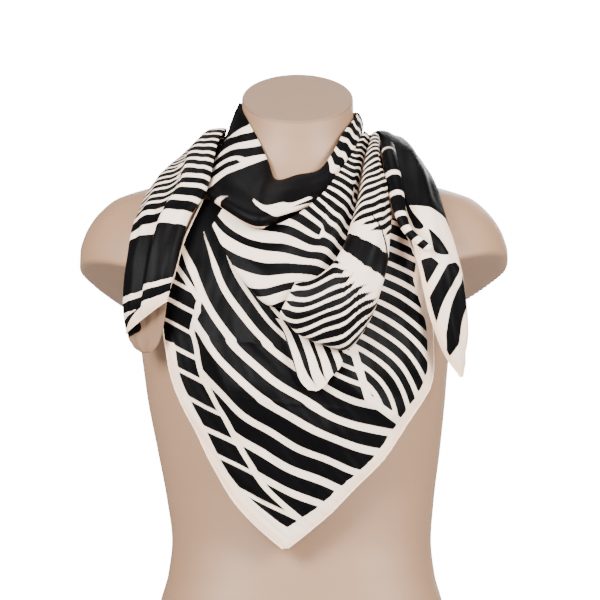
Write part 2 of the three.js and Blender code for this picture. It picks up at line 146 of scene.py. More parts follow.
# Each stretch of the scarf: its shape, its folds and its stripes. a is the first edge and b
# the second. crossing and along are stripes per 100 mm down its length and over its width.
PIECES = {
    "bib": dict(
        least=LEAST,
        rows=table("ax az bx bz liftA liftB belly", [
            [-101, 576, 104, 556, 1.5, 3, 0],
            [-119.5, 535, 117, 530, 0, 0, 0],
            [-131, 495, 127, 503, -2, -2, 0],
            [-141, 462, 134, 474, -2, -2, 2],
            [-143, 438, 141, 444, 0, 2, 6.5],
            [-139, 415, 142, 417, 3, 4, 9],
            [-133, 387, 141, 393, 5, 6, 12],
            [-122, 360, 133, 370, 6, 6, 12],
            [-107, 331, 115, 343, 6, 6, 11],
            [-90, 297, 89, 304, 6, 6, 9],
            [-71, 264, 59, 274, 6, 6, 7],
            [-47, 236, 26, 241, 6, 6, 4],
            [-17, 210, -12, 210.5, 6, 6, 0],
        ]),
        ridges=table("x0 z0 x1 z1 width height", [
            [-112, 500, -62, 350, 20, 6],
            [-52, 380, 20, 330, 18, 5],
            [122, 520, 128, 400, 10, 8],
            [44, 388, 96, 350, 10, 6],
        ]),
        folds=table(FOLDS, [
            [0.28, 0.12, 0.62, 0.22, 5, 1.6],
            [0.35, 0.3, 0.5, 0.42, 3, 1.2],
            [0.6, 0.3, 0.86, 0.5, 8, 1.6],
            [0.68, 0.72, 0.9, 0.6, 9, 1.4],
            [0.3, 0.86, 0.62, 0.95, 6, 1.5],
            [0.16, 0.3, 0.66, 0.42, 15, 3],
            [0.42, 0.55, 0.84, 0.62, 13, 2.4],
            [0.72, 0.06, 0.82, 0.16, 6, 2],
            [0.8, 0.1, 0.9, 0.3, 5, -1.6],
        ]),
        creases=table(CREASES, [
            [0.36, 0.14, 0.4, 0.46, 1.1],
            [0.56, 0.2, 0.62, 0.7, 0.8],
        ]),
        hems=("a", "b"),
        flat=(0.304, 0.387),
        area=0.081,
        held="draped",
        rests_on=["form"],
        sway=0.05,
        seed=3,
    ),
    "cowl_pouch": dict(
        least=OVER_BIB,
        facing=-1,
        rollA=70,
        rollB=70,
        square=2,
        pleats=table(PLEATS, []),
        rows=table(EDGES, [
            [-26, -138, 452, 50, -138, 436, 3],
            [-17, -140, 438, 46, -139, 421, 3],
            [-10, -147, 418, 44, -149, 402, 3],
            [-3, -151, 396, 33, -152, 390, 3],
            [3, -151.6, 384, 27, -151.6, 380.5, 2.5],
            [10, -151.6, 377, 18, -151.6, 376, 1],
        ]),
        folds=table(FOLDS, [
            [0.1, 0.3, 0.9, 0.45, 4, 1],
            [0.1, 0.7, 0.9, 0.6, 4, 1],
        ]),
        hems=(),
        flat=(0.050, 0.074),
        held="folded",
        rests_on=["silk_bib"],
        stripes=table(PRINT, [
            [0, 0, 6.5, 0.55],
            [0.5, 0, 6.5, 0.36],
            [1, 0, 6.5, -0.25],
        ]),
        forks=table(FORKS, []),
        sway=0.08,
        seed=5,
    ),
    "cowl_low": dict(
        least=OVER_BIB,
        facing=-1,
        rollA=95,
        rollB=112,
        square=2.3,
        pleats=table(PLEATS, [[0.62, 0.35, 0.12, 2.5]]),
        rows=table(EDGES, [
            [-4, -146, 489, -20, -146, 457, 3],
            [10, -146, 491, -1, -149, 436, 9],
            [24, -145, 499, 23, -150, 425, 13],
            [38, -143, 513, 52, -147, 419, 17],
            [49, -139, 532, 74, -141, 450, 20],
            [56, -132, 553, 87, -132, 488, 20],
            [62, -122, 574, 92, -122, 525, 18],
            [67, -101, 602, 92, -106, 561, 14],
            [72, -68, 628, 82, -74, 607, 9],
            [78, -24, 648, 84, -26, 637, 5],
        ]),
        folds=table(FOLDS, [
            [0.12, 0.3, 0.6, 0.25, 5, 1.5],
            [0.2, 0.7, 0.7, 0.62, 6, 1.6],
            [0.6, 0.45, 0.95, 0.5, 4, 1.3],
        ]),
        hems=(),
        flat=(0.076, 0.313),
        held="folded",
        rests_on=["silk_bib", "form"],
        stripes=table(PRINT, [
            [0, -0.5, 9, 0.1],
            [0.05, -0.8, 9, 0.62],
            [0.28, -1, 9, 0.62],
            [0.4, -3, 8, 0.6],
            [0.46, -4, 7, -0.1],
            [0.488, -5, 7, -0.4],
            [0.492, -6, 7, 1.5],
            [0.568, -6, 7, 1.5],
            [0.572, -7, 7, -0.4],
            [0.6, -7, 7, -0.1],
            [0.64, -7, 7, 0.56],
            [0.85, -8, 6, 0.6],
            [1, -9, 5, 0.66],
        ]),
        forks=table(FORKS, [[0.22, 0.45, 1], [0.74, 0.5, 1]]),
        darts=table(DARTS, [[0.6, 0.95, 0.64, 0.35, 5, 0.5, 1]]),
        creases=table(CREASES, [[0.1, 0.5, 0.5, 0.45, 1.4]]),
        square_print=True,
        sway=0.16,
        seed=7,
    ),
    "cowl_high": dict(
        least=OVER_BIB,
        facing=-1,
        rollA=50,
        rollB=105,
        square=2.4,
        pleats=table(PLEATS, []),
        rows=table(EDGES, [
            [-76, -89, 570, -90, -95, 544, 3],
            [-62, -96, 557, -78, -110, 520, 7],
            [-46, -102, 549, -58, -126, 490, 10],
            [-28, -107, 549.5, -30, -136, 464, 11],
            [-8, -116, 557.5, 8, -134, 468, 11],
            [12, -116, 571, 36, -124, 493, 11],
            [29, -105, 588, 54, -110, 540, 10],
            [44, -84, 609, 60, -90, 582, 8],
            [58, -54, 629, 67, -56, 614, 5],
            [69, -16, 651, 75, -16, 643, 3],
        ]),
        folds=table(FOLDS, [
            [0.1, 0.45, 0.42, 0.5, 5, 1.4],
            [0.4, 0.3, 0.8, 0.4, 5, 1.4],
        ]),
        hems=(),
        flat=(0.056, 0.322),
        held="folded",
        rests_on=["silk_cowl_low", "form"],
        stripes=table(PRINT, [
            [0, 0, -4, 0.42],
            [0.28, 0.3, -4, 0.44],
            [0.42, 2, -5, 0.52],
            [0.55, 6, -4.5, 0.62],
            [0.75, 8, -3.5, 0.62],
            [1, 9, -2, 0.66],
        ]),
        forks=table(FORKS, [[0.36, 0.6, -1], [0.64, 0.5, 1]]),
        creases=table(CREASES, [[0.5, 0.45, 0.9, 0.5, 1.3]]),
        sway=0.12,
        seed=11,
    ),
    "collar": dict(
        least=LEAST,
        facing=-1,
        rollA=60,
        rollB=112,
        square=2.6,
        pleats=table(PLEATS, []),
        rows=table(EDGES, [
            [-62, 2, 682, -75, 2, 646, 3],
            [-53, -27, 662, -91, -30, 613, 5],
            [-41, -49, 637, -97, -68, 584.5, 7],
            [-32, -64, 616, -80, -104, 568, 9],
            [-24, -75, 598, -44, -126, 549, 10],
            [-2, -78, 603, -13, -107, 560, 7],
            [21, -73, 608.5, 24, -94, 577, 5],
            [35, -62, 626, 47, -74, 600, 4],
            [48, -38, 650, 63, -40, 629, 3],
            [63, 0, 671, 68, 0, 656, 2],
        ]),
        folds=table(FOLDS, [
            [0.12, 0.3, 0.42, 0.45, 5, 1.6],
            [0.2, 0.7, 0.5, 0.7, 6, 1.6],
            [0.38, 0.2, 0.46, 0.8, 5, 1.3],
        ]),
        hems=("b",),
        hem_span=(0.18, 0.48),
        flat=(0.056, 0.343),
        held="folded",
        rests_on=["form"],
        stripes=table(PRINT, [
            [0, 3, 1.5, 1.2],
            [0.08, 3.5, 1.5, 1.1],
            [0.13, 4, 2, 0.6],
            [0.26, 3.6, 2, 0.52],
            [0.32, 3.6, 1.5, 0.8],
            [0.36, 4, 1, 1.3],
            [0.68, 4, 1, 1.4],
            [0.685, 4, 0, 0.62],
            [0.8, 5, -1, 0.6],
            [1, 6.5, -1, 0.66],
        ]),
        forks=table(FORKS, [[0.2, 0.5, 1]]),
        darts=table(DARTS, [
            [0.27, 0.7, 0.36, 0.5, 0.6, 4, 1],
            [0.4, 0.42, 0.61, 0.72, 0.5, 11, 0],
            [0.55, 0.62, 0.66, 0.72, 0.4, 4, 1],
        ]),
        crinkle=0.12,
        sway=0.15,
        seed=13,
    ),
    "nape_over": dict(
        least=LEAST,
        facing=1,
        rollA=85,
        rollB=95,
        square=2.2,
        pleats=table(PLEATS, [
            [0.3, 0.3, 0.12, 3],
            [0.7, 0.68, 0.12, 3],
        ]),
        rows=table(EDGES, [
            [-62, 2.5, 682, -75, 2.5, 646, 3],
            [-54, 42, 681, -70, 52, 636, 5],
            [-28, 76, 671, -38, 92, 624, 7],
            [4, 87, 662, 2, 104, 612, 8],
            [36, 79, 655, 50, 99, 603, 8],
            [59, 65, 650, 92, 80, 600, 8],
            [73, 51, 648.5, 112, 62, 607, 8],
            [76, 40, 648, 116, 50, 612, 8],
        ]),
        folds=table(FOLDS, [
            [0.1, 0.2, 0.9, 0.25, 4, 1.3],
            [0.15, 0.5, 0.85, 0.5, 4, 1.5],
            [0.3, 0.85, 0.95, 0.8, 4, 1.2],
        ]),
        hems=(),
        flat=(0.059, 0.263),
        held="draped",
        rests_on=["form", "silk_nape_under"],
        stripes=table(PRINT, [
            # painted shade: the first rows are solid black, standing for the shade in the gap between the
            # collar and the left tail
            [0, 4, 1, 1.3],
            [0.2, 5, 1, 1.1],
            [0.3, 6, 1.5, 0.6],
            [0.5, 6, 1.5, 0.6],
            [0.8, 6, 1, 0.8],
            [1, 5, 0, 1.25],
        ]),
        forks=table(FORKS, [[0.45, 0.5, 1]]),
        sway=0.14,
        seed=17,
    ),
    "nape_under": dict(
        least=LEAST,
        facing=-1,
        rollA=85,
        rollB=92,
        square=2.2,
        pleats=table(PLEATS, [[0.5, 0.5, 0.16, 3]]),
        rows=table(EDGES, [
            [63, 0.5, 671, 68, 0.5, 656, 2],
            [54, 40, 672, 62, 46, 644, 3],
            [28, 66, 666, 34, 72, 632, 4],
            [-2, 75, 654, -4, 82, 618, 4],
            [-36, 72, 634, -50, 84, 600, 5],
            [-64, 63, 624, -90, 76, 592, 6],
            [-80, 51, 632, -111, 60, 605, 7.5],
            [-82, 40, 637, -114, 48, 612, 8],
        ]),
        folds=table(FOLDS, [
            [0.3, 0.3, 0.95, 0.3, 4, 1.3],
            [0.4, 0.7, 0.95, 0.7, 4, 1.3],
        ]),
        hems=(),
        flat=(0.038, 0.248),
        held="draped",
        rests_on=["form"],
        stripes=table(PRINT, [
            [0, 8, 1, 0.55],
            [0.5, 7, 1, 0.5],
            # painted shade: the last rows run to solid black, standing for the shade in the slit beside the
            # left tail
            [0.75, 9, 0.5, 0.8],
            [1, 12, 0.5, 1.3],
        ]),
        forks=table(FORKS, [[0.6, 0.5, 1]]),
        sway=0.14,
        seed=19,
    ),
    "tail_left": dict(
        least=LEAST,
        facing=-1,
        rollA=85,
        rollB=92,
        square=2.2,
        pleats=table(PLEATS, [
            [0.3, 0.34, 0.14, 5],
            [0.78, 0.76, 0.14, 4],
        ]),
        rows=table(EDGES, [
            [-82, 39.5, 637.2, -114, 47.5, 612.2, 8],
            [-78, 8, 653, -112, 8, 628, 7],
            [-86, -22, 640, -134, -18, 606, 9],
            [-91, -52, 617, -157, -46, 586, 11],
            [-98.5, -84, 584, -168, -74, 562, 12],
            [-114, -106, 559, -175, -91, 540, 12],
            [-124, -121, 530, -180, -101, 512, 11],
            [-130, -129, 504, -183, -105, 482, 10],
            [-134, -131, 487, -184, -106, 457, 9],
            [-138, -130, 470, -181, -107, 436, 6],
        ]),
        folds=table(FOLDS, [
            [0.3, 0.2, 0.8, 0.2, 5, 1.2],
            [0.5, 0.72, 0.85, 0.66, 7, -2],
            [0.35, 0.85, 0.8, 0.85, 4, 1.2],
        ]),
        hems=("end",),
        flat=(0.071, 0.306),
        held="draped",
        rests_on=["form", "silk_bib"],
        stripes=table(PRINT, [
            [0, 8, 0.5, 0.8],
            [0.2, 8.5, 0.5, 0.66],
            [0.4, 8.5, 1, 0.6],
            [0.47, 7, 1, 0.68],
            [0.53, 5, 1, 0.5],
            [0.565, 5, 0, 0.7],
            [0.595, 5, 0, -0.1],
            [0.61, 5, 0, 1.3],
            [0.83, 5, 0, 1.3],
            [0.84, 6, 0.3, -0.1],
            [0.865, 6, 0.3, 0.2],
            [0.875, 6, 0.3, 1.2],
            [0.92, 6, 0.3, 1.2],
            [0.93, 6, 0.3, -0.2],
            [1, 6, 1, -0.3],
        ]),
        forks=table(FORKS, [
            [0.12, 0.5, 1],
            [0.2, 0.56, 1],
            [0.28, 0.5, 1],
            [0.36, 0.56, 1],
            [0.44, 0.52, 1],
        ]),
        darts=table(DARTS, [
            [0.95, 0.84, 0.925, 0.56, 7, 0.4, 1],
        ]),
        laps=table(LAPS, [[0.4, 0.5, -9, 3.5]]),
        level=22,
        sway=0.16,
        seed=23,
    ),
    "tail_left_under": dict(
        least=LEAST,
        facing=-1,
        rollA=30,
        rollB=60,
        square=2,
        pleats=table(PLEATS, []),
        rows=table(EDGES, [
            [-131.5, -128, 500, -174, -105, 488, 3],
            [-138, -122, 472, -179, -101, 462, 4],
            [-142, -118, 444, -181, -98, 440, 4],
            [-148, -114, 424, -175, -100, 423, 3],
            [-156, -110, 415.5, -166, -104, 415.5, 2],
        ]),
        folds=table(FOLDS, [
            [0.6, 0.3, 0.98, 0.4, 3, 1.2],
            [0.55, 0.7, 0.95, 0.65, 3, 1],
        ]),
        hems=(),
        flat=(0.042, 0.082),
        held="draped",
        rests_on=["form", "silk_tail_left"],
        stripes=table(PRINT, [
            [0, 4, 0, -0.4],
            [1, 4, 0, -0.4],
        ]),
        forks=table(FORKS, []),
        darts=table(DARTS, [[0.6, 1, 0.48, 0.7, 1.5, 8, 1]]),
        # coloured as the silk's warmer back face, darkened with painted shade
        reverse=True,
        sway=0.1,
        seed=29,
    ),
    "tail_right": dict(
        least=LEAST,
        facing=1,
        rollA=85,
        rollB=95,
        square=2.2,
        pleats=table(PLEATS, [[0.55, 0.5, 0.18, 4]]),
        rows=table(EDGES, [
            [76.1, 39.5, 648.1, 116.1, 49.5, 612.2, 8],
            [84, 8, 652, 122, 6, 622, 8],
            [91, -26, 642, 136, -25, 604, 9],
            [98, -56, 620, 146, -52, 584, 10],
            [104.5, -82, 592, 153, -76, 562, 10],
            [111, -106, 562, 158, -94, 545, 10],
            [119, -122, 532, 165, -106, 522, 9],
            [127, -130, 500, 173, -111, 492, 8],
            [138, -128, 455, 176, -112, 455, 7],
            [152, -122, 416, 176, -113, 420, 5],
            [170, -115.4, 390, 171.6, -114.8, 390.2, 0],
        ]),
        folds=table(FOLDS, [
            [0.1, 0.35, 0.5, 0.4, 6, 1.6],
            [0.15, 0.75, 0.5, 0.7, 6, 1.4],
            [0.5, 0.3, 0.72, 0.65, 5, 2],
        ]),
        hems=("a", "b"),
        hem_span=(0.5, 1),
        flat=(0.055, 0.365),
        held="draped",
        rests_on=["form", "silk_bib"],
        stripes=table(PRINT, [
            [0, 4, 0, 1.3],
            [0.465, 4, 0, 1.3],
            [0.485, 3, 0, -0.3],
            [0.645, 2, 3, -0.3],
            [0.67, 2.2, 3.4, 0.72],
            [0.85, 2.4, 3.4, 0.58],
            [0.93, 2, 3, -0.1],
            [1, 2, 3, -0.4],
        ]),
        forks=table(FORKS, []),
        darts=table(DARTS, [
            [0.47, 0.9, 0.56, 0.97, 7, 0.5, 1],
            # painted shadow: these two black wedges stand for the shaded hollow between the roll and the tail
            [0.45, 0.14, 0.55, 0.22, 1, 5, 1],
            [0.56, 0.36, 0.63, 0.5, 0.5, 5, 1],
        ]),
        sway=0.1,
        seed=31,
    ),
    "tail_right_roll": dict(
        least=LEAST,
        facing=1,
        rollA=120,
        rollB=120,
        square=2,
        pleats=table(PLEATS, []),
        rows=table(EDGES, [
            [87, -53, 639, 101, -55, 632, 5],
            [89, -76, 621, 104, -78, 613, 7],
            [93.5, -100, 595, 108, -102, 588, 7],
            [99.5, -122, 567, 112, -122, 563, 6],
            [107.5, -134, 545, 118, -134, 546, 5],
            [121, -140, 530, 130, -138, 535, 4],
            [134, -140, 521, 140, -138, 527, 3],
        ]),
        folds=table(FOLDS, [[0.2, 0.5, 0.9, 0.55, 2.5, 0.8]]),
        hems=(),
        flat=(0.026, 0.158),
        held="folded",
        rests_on=["silk_tail_right"],
        stripes=table(PRINT, [
            [0, 2, 0, 1.2],
            [0.12, 2.6, 0, 0.84],
            [0.5, 3.6, 0, 0.76],
            [0.62, 6, 0, 0.6],
            [0.86, 6, 0, 0.6],
            [0.95, 5, 0, -0.1],
            [1, 5, 0, -0.3],
        ]),
        forks=table(FORKS, []),
        sway=0.1,
        seed=37,
    ),
}

# The print of the hanging triangle, with painted shadow at its upper left, in millimetres from the front.
BORDER = 11
TIP_BORDER = 9
TIP_FROM = 290
TIP_FADE = 60
RIGHT_BORDER_TOP = 492
LEFT_BORDER_TOP = 425
RIGHT_BORDER_FADE = 0.5
LEFT_BORDER_FADE = 18
MAIN_CENTRE = (150, 610)
MAIN_WIDE_FROM = 250
MAIN_PITCH = 23
MAIN_FINE_PITCH = 13
MAIN_SHARE = 0.68
# Painted shadow: above this height on the left, the bundle's stripes fill in to solid black for the shade
# between the left tail and the triangle.
SHADE_BLACK_FROM = 505
SHADE_BLACK_FADE = 60
SHADE_BLACK_SHARE = 0.5
COLUMN_WIDTH = 33
COLUMN_LINE = 6
COLUMN_TOP = 470
COLUMN_PITCH = 23
COLUMN_SHARE = 0.8
RIGHT_CENTRE = (30, 338)
RIGHT_FROM = 65
RIGHT_PITCH = 13.5
RIGHT_SHARE = 0.64
DIVIDER = ((40, 392), (134, 322))
DIVIDER_GAP = 4

# The room's light: how bright it is in front, how much more at the sides, how much less above.
ROOM_FRONT = 0.4
ROOM_SIDES = 0.45
ROOM_ABOVE = 0.35

# Silk detail, in millimetres.
CRINKLE_HEIGHT = 0.5
CRINKLE_LENGTH = 60
CRINKLE_WIDTH = 11
SWAY_LENGTH = 70
WAVES = 14
PRINT_SMOOTH = 34
TURN_SMOOTH = 24
UNEVEN = 0.08
UNEVEN_BEAT = 2.4
FORK_CLEAR = 3.6
LAP_REACH = 12
LAP_SHARP = 0.7
LAP_TURN = 1.1
CREASE_HEIGHT = 0.6
CREASE_WIDTH = 2.5
CREASE_SHARP = 2.6
CREASE_REACH = 26
HEM_SIDES = 10
STITCH_SPACING = 6.5
STITCH_WIDTH = 0.8
STITCH_DEPTH = 0.14


def mix(a, b, t):
    return a + (b - a) * t


def unit(vectors):
    """The vectors, each made one long."""
    return vectors / np.maximum(np.linalg.norm(vectors, axis=-1, keepdims=True), 1e-9)


def signed_power(value, power):
    return np.sign(value) * np.abs(value) ** power


def ring_column(name, z):
    """A smooth value of one column at the heights z, which never overshoots its rows."""
    levels = FORM_RINGS["z"]
    values = FORM_RINGS[name]
    slope = np.diff(values) / np.diff(levels)
    product = slope[:-1] * slope[1:]
    total = np.where(product > 0, slope[:-1] + slope[1:], 1)
    tangent = np.concatenate([[0], np.where(product > 0, 2 * product / total, 0), [0]])
    inside = np.clip(z, levels[0], levels[-1])
    i = np.clip(np.searchsorted(levels, inside) - 1, 0, len(levels) - 2)
    span = levels[i + 1] - levels[i]
    t = (inside - levels[i]) / span
    bend = tangent[i] * (t**3 - 2 * t**2 + t) + tangent[i + 1] * (t**3 - t**2)
    return values[i] * (2 * t**3 - 3 * t**2 + 1) + values[i + 1] * (3 * t**2 - 2 * t**3) + span * bend


def ring_at(z):
    return {name: ring_column(name, z) for name in FORM_RINGS if name != "z"}


def ring_share(points):
    """How far out points are, as a share of the ring they are level with: 1 on the form's skin."""
    ring = ring_at(points[..., 2])
    across = np.abs((points[..., 0] - ring["aside"]) / ring["halfWidth"]) ** ring["square"]
    deep = np.abs((points[..., 1] - ring["middle"]) / ring["halfDepth"]) ** ring["square"]
    return (across + deep) ** (1 / ring["square"])


def from_form(points):
    """The distance of points from the form's skin, near it, and the way out."""
    steps = np.eye(3) * GRADIENT_STEP
    slopes = [ring_share(points + step) - ring_share(points - step) for step in steps]
    gradient = np.stack(slopes, axis=-1) / (2 * GRADIENT_STEP)
    steepness = np.maximum(np.linalg.norm(gradient, axis=-1), 1e-6)
    return (ring_share(points) - 1) / steepness, gradient / steepness[..., None]


def keep_off(points, least):
    """Moves points out until they are at least this far from the form, with a soft start."""
    distance, out = from_form(points)
    spare = (distance - least) / SOFT
    wanted = least + SOFT * np.log1p(np.exp(np.minimum(spare, FAR)))
    points = points + out * np.where(spare < FAR, wanted - distance, 0)[..., None]
    for _ in range(PASSES):
        distance, out = from_form(points)
        points = points + out * np.maximum(least - distance, 0)[..., None]
    return points


def row_at(rows, s):
    """The rows' columns at s from 0 to 1, on a smooth curve through every row."""
    last = len(next(iter(rows.values()))) - 1
    place = np.clip(s, 0, 1) * last
    i = np.minimum(np.floor(place).astype(int), last - 1)
    t = place - i
    made = {}
    for name, values in rows.items():
        p = values[np.clip(i - 1, 0, last)]
        q = values[i]
        r = values[i + 1]
        w = values[np.clip(i + 2, 0, last)]
        made[name] = q + 0.5 * t * (r - p + t * (2 * p - 5 * q + 4 * r - w + t * (3 * (q - r) + w - p)))
    return made


def edge_points(row, edge):
    return np.stack([row[edge + axis] for axis in "xyz"], axis=-1)


def pleat_height(pleats, s, across):
    """The height of the lengthwise pleats at places on a piece."""
    fade = np.sqrt(np.sin(np.pi * np.clip(s, 0, 1)))
    height = 0
    for pleat in each(pleats):
        middle = mix(pleat["from"], pleat["to"], s)
        height = height + pleat["height"] * fade * np.exp(-(((across - middle) / pleat["width"]) ** 2))
    return height


def arched_points(piece, s, t):
    """A stretch of cloth between two edges, whose section is an arch that rolls under."""
    rows = piece["rows"]
    row = row_at(rows, s)
    a = edge_points(row, "a")
    b = edge_points(row, "b")
    after = row_at(rows, np.minimum(1, s + SLOPE_STEP))
    before = row_at(rows, np.maximum(0, s - SLOPE_STEP))
    along = sum(edge_points(after, edge) - edge_points(before, edge) for edge in "ab")
    out = unit(np.cross(along, b - a)) * piece["facing"]
    angle = np.radians(mix(-piece["rollA"], piece["rollB"], t))
    power = 2 / piece["square"]
    end_a = math.radians(min(piece["rollA"], RIGHT_ANGLE))
    end_b = math.radians(min(piece["rollB"], RIGHT_ANGLE))
    reach_a = signed_power(math.sin(end_a), power)
    reach_b = signed_power(math.sin(end_b), power)
    across = (signed_power(np.sin(angle), power) + reach_a) / (reach_a + reach_b)
    rest_a = signed_power(max(math.cos(end_a), 0), power)
    rest_b = signed_power(max(math.cos(end_b), 0), power)
    height = row["bulge"] * (signed_power(np.cos(angle), power) - mix(rest_a, rest_b, across))
    height = height + pleat_height(piece["pleats"], s, across)
    return keep_off(a + (b - a) * across[..., None] + out * height[..., None], piece["least"])


def chest_front(x, z):
    """How far forward the cloth lies on the chest: it hangs below the chest's fullest part."""
    ring = ring_at(np.maximum(z, HANG_FROM))
    lower = ring_at(z)
    follow = np.where(z < HANG_FROM, HANG_FOLLOW, 0)
    half_width = mix(ring["halfWidth"], lower["halfWidth"], follow)
    half_depth = mix(ring["halfDepth"], lower["halfDepth"], follow)
    rest = np.maximum(0.02, 1 - np.abs((x - ring["aside"]) / half_width) ** ring["square"])
    return ring["middle"] - half_depth * rest ** (1 / ring["square"])


def chest_points(piece, s, t):
    """A stretch of cloth that lies on the chest, with ridges that are lines on the chest."""
    row = row_at(piece["rows"], s)
    x = mix(row["ax"], row["bx"], t)
    z = mix(row["az"], row["bz"], t)
    lift = mix(row["liftA"], row["liftB"], t) + row["belly"] * np.sin(np.pi * t)
    for ridge in each(piece["ridges"]):
        off = distance_to_line(x, z, (ridge["x0"], ridge["z0"]), (ridge["x1"], ridge["z1"]))[0]
        lift = lift + ridge["height"] * np.exp(-((off / ridge["width"]) ** 2))
    points = np.stack([x, chest_front(x, z) - lift, z], axis=-1)
    return keep_off(points, piece["least"])


def distance_to_line(x, y, start, end):
    """How far places are from a line between two points, and how far along it they are."""
    dx = end[0] - start[0]
    dy = end[1] - start[1]
    along = np.clip(((x - start[0]) * dx + (y - start[1]) * dy) / (dx * dx + dy * dy), 0, 1)
    return np.hypot(x - start[0] - along * dx, y - start[1] - along * dy), along


def wander(x, y, length, width, seed):
    """A smooth random field of about unit height, drawn out by length along x and width along y."""
    draw = np.random.default_rng(seed)
    field = 0
    for _ in range(WAVES):
        kx, ky = draw.normal(size=2)
        field = field + np.sin(x * kx / length * 2.2 + y * ky / width * 2.2 + draw.uniform(0, TAU))
    return field * math.sqrt(2 / WAVES)


def even_steps(points_at, count_axis, spacing):
    """Values from 0 to 1, spaced evenly by length over the cloth."""
    fine = np.linspace(0, 1, 241)
    probe = np.linspace(0.05, 0.95, 7)
    if count_axis == "s":
        lines = points_at(fine[:, None], probe[None, :]).transpose(1, 0, 2)
    else:
        lines = points_at(probe[:, None], fine[None, :])
    pieces = np.linalg.norm(np.diff(lines, axis=1), axis=-1).mean(axis=0)
    length = np.concatenate([[0], np.cumsum(np.maximum(pieces, 1e-6))])
    count = max(4, int(round(length[-1] / spacing)))
    return np.interp(np.linspace(0, length[-1], count + 1), length, fine)


def running_length(points, axis):
    """How far each point is along its line of the grid."""
    steps = np.linalg.norm(np.diff(points, axis=axis), axis=-1)
    first = np.zeros_like(np.take(steps, [0], axis=axis))
    return np.cumsum(np.concatenate([first, steps], axis=axis), axis=axis)


def grid_normals(points):
    return unit(np.cross(np.gradient(points, axis=0), np.gradient(points, axis=1)))


def fold_height(piece, s, t, u, v):
    """The height of the listed small folds, and of the crinkles between them."""
    length = u.max()
    width = v.mean(axis=0).max()
    height = wander(u, v, CRINKLE_LENGTH, CRINKLE_WIDTH, piece["seed"]) * piece.get("crinkle", CRINKLE_HEIGHT)
    for fold in each(piece["folds"]):
        start = (fold["s0"] * length, fold["t0"] * width)
        end = (fold["s1"] * length, fold["t1"] * width)
        bow = 3 * np.sin(u / 23 + piece["seed"])
        off, along = distance_to_line(s * length, t * width + bow, start, end)
        fade = np.sin(np.pi * np.clip(along, 0.02, 0.98)) ** 0.6
        height = height + fold["height"] * fade * np.exp(-((off / fold["width"]) ** 1.6))
    for _, off, crease_fade in crease_lines(piece, s, t, u, v):
        height = height + CREASE_HEIGHT * crease_fade * np.exp(-((off / CREASE_WIDTH) ** 2))
    for lap, past in lap_lines(piece, s, v):
        over = np.exp(np.minimum(past, 0) / LAP_REACH) / (1 + np.exp(np.clip(past / LAP_SHARP, -FAR, FAR)))
        height = height + lap["drop"] * over
    return height * np.clip(np.minimum(s, 1 - s) * 14, 0, 1)


def black_share(share):
    """The level that a wave has to pass for this share of it to be black, past 0 and 1 as well."""
    beyond = np.maximum(share - 1, 0) + np.minimum(share, 0)
    return np.cos(np.pi * np.clip(share, 0, 1)) - 3 * beyond


def striped(phase, pitch, share):
    """Stripes of this pitch, as millimetres inside the black, and below 0 on the pale silk."""
    share = share + UNEVEN * np.sin(UNEVEN_BEAT * np.round(phase))
    return pitch / TAU * (np.cos(TAU * phase) - black_share(share))


def lap_lines(piece, s, v):
    """Each line where the cloth lies over itself, and how far places are past it."""
    width = v.mean(axis=0).max()
    for lap in each(piece.get("laps", table(LAPS, []))):
        yield lap, v - mix(lap["t0"], lap["t1"], s) * width


def crease_lines(piece, s, t, u, v):
    """Each ironing crease: its jog, the signed distance from it, and its fade at the ends."""
    length = u.max()
    width = v.mean(axis=0).max()
    for crease in each(piece.get("creases", table(CREASES, []))):
        start = (crease["s0"] * length, crease["t0"] * width)
        end = (crease["s1"] * length, crease["t1"] * width)
        off, along = distance_to_line(s * length, t * width, start, end)
        beside = (end[0] - start[0]) * (t * width - start[1])
        beside = beside - (end[1] - start[1]) * (s * length - start[0])
        yield crease["jog"], off * np.sign(beside), np.sin(np.pi * along) ** 0.5


def crease_jog(piece, s, t, u, v):
    """How far the print steps aside where the silk was ironed on a fold."""
    jog = np.zeros(u.shape)
    for step, off, fade in crease_lines(piece, s, t, u, v):
        jog = jog + step * fade * np.tanh(off / CREASE_SHARP) * np.exp(-((off / CREASE_REACH) ** 2))
    return jog


def add_darts(piece, ink, s, t, u, v):
    """Tapering wedges of black on the pale silk, or of pale silk in the black."""
    length = u.max()
    width = v.mean(axis=0).max()
    for dart in each(piece.get("darts", table(DARTS, []))):
        start = (dart["s0"] * length, dart["t0"] * width)
        end = (dart["s1"] * length, dart["t1"] * width)
        bow = 1.5 * np.sin(u / 9)
        off, along = distance_to_line(s * length, t * width + bow, start, end)
        inside = mix(dart["from"], dart["to"], along) - off
        ink = np.maximum(ink, inside) if dart["black"] else np.minimum(ink, -inside)
    return ink


def smoothed(field, reach):
    """A field averaged down the length of its grid, over a few rows on each side."""
    reach = max(1, min(reach, len(field) // 3))
    ends = np.repeat(field[:1], reach, 0), np.repeat(field[-1:], reach, 0)
    padded = np.concatenate([ends[0], field, ends[1]])
    weights = np.hanning(2 * reach + 3)[1:-1]
    weights = weights / weights.sum()
    return sum(weight * padded[k:k + len(field)] for k, weight in enumerate(weights))


def straightened(piece, points, s, u, v):
    """Where places lie down the length, so that a line across the cloth is straight, or square."""
    centre = points.mean(axis=1, keepdims=True)
    ahead = ((points - centre) * unit(np.gradient(centre, axis=0))).sum(axis=-1)
    aslant = mix(ahead[:, :1], ahead[:, -1:], v / v[:, -1:])
    return s + (ahead - (0 if piece.get("square_print") else aslant)) / u.max()


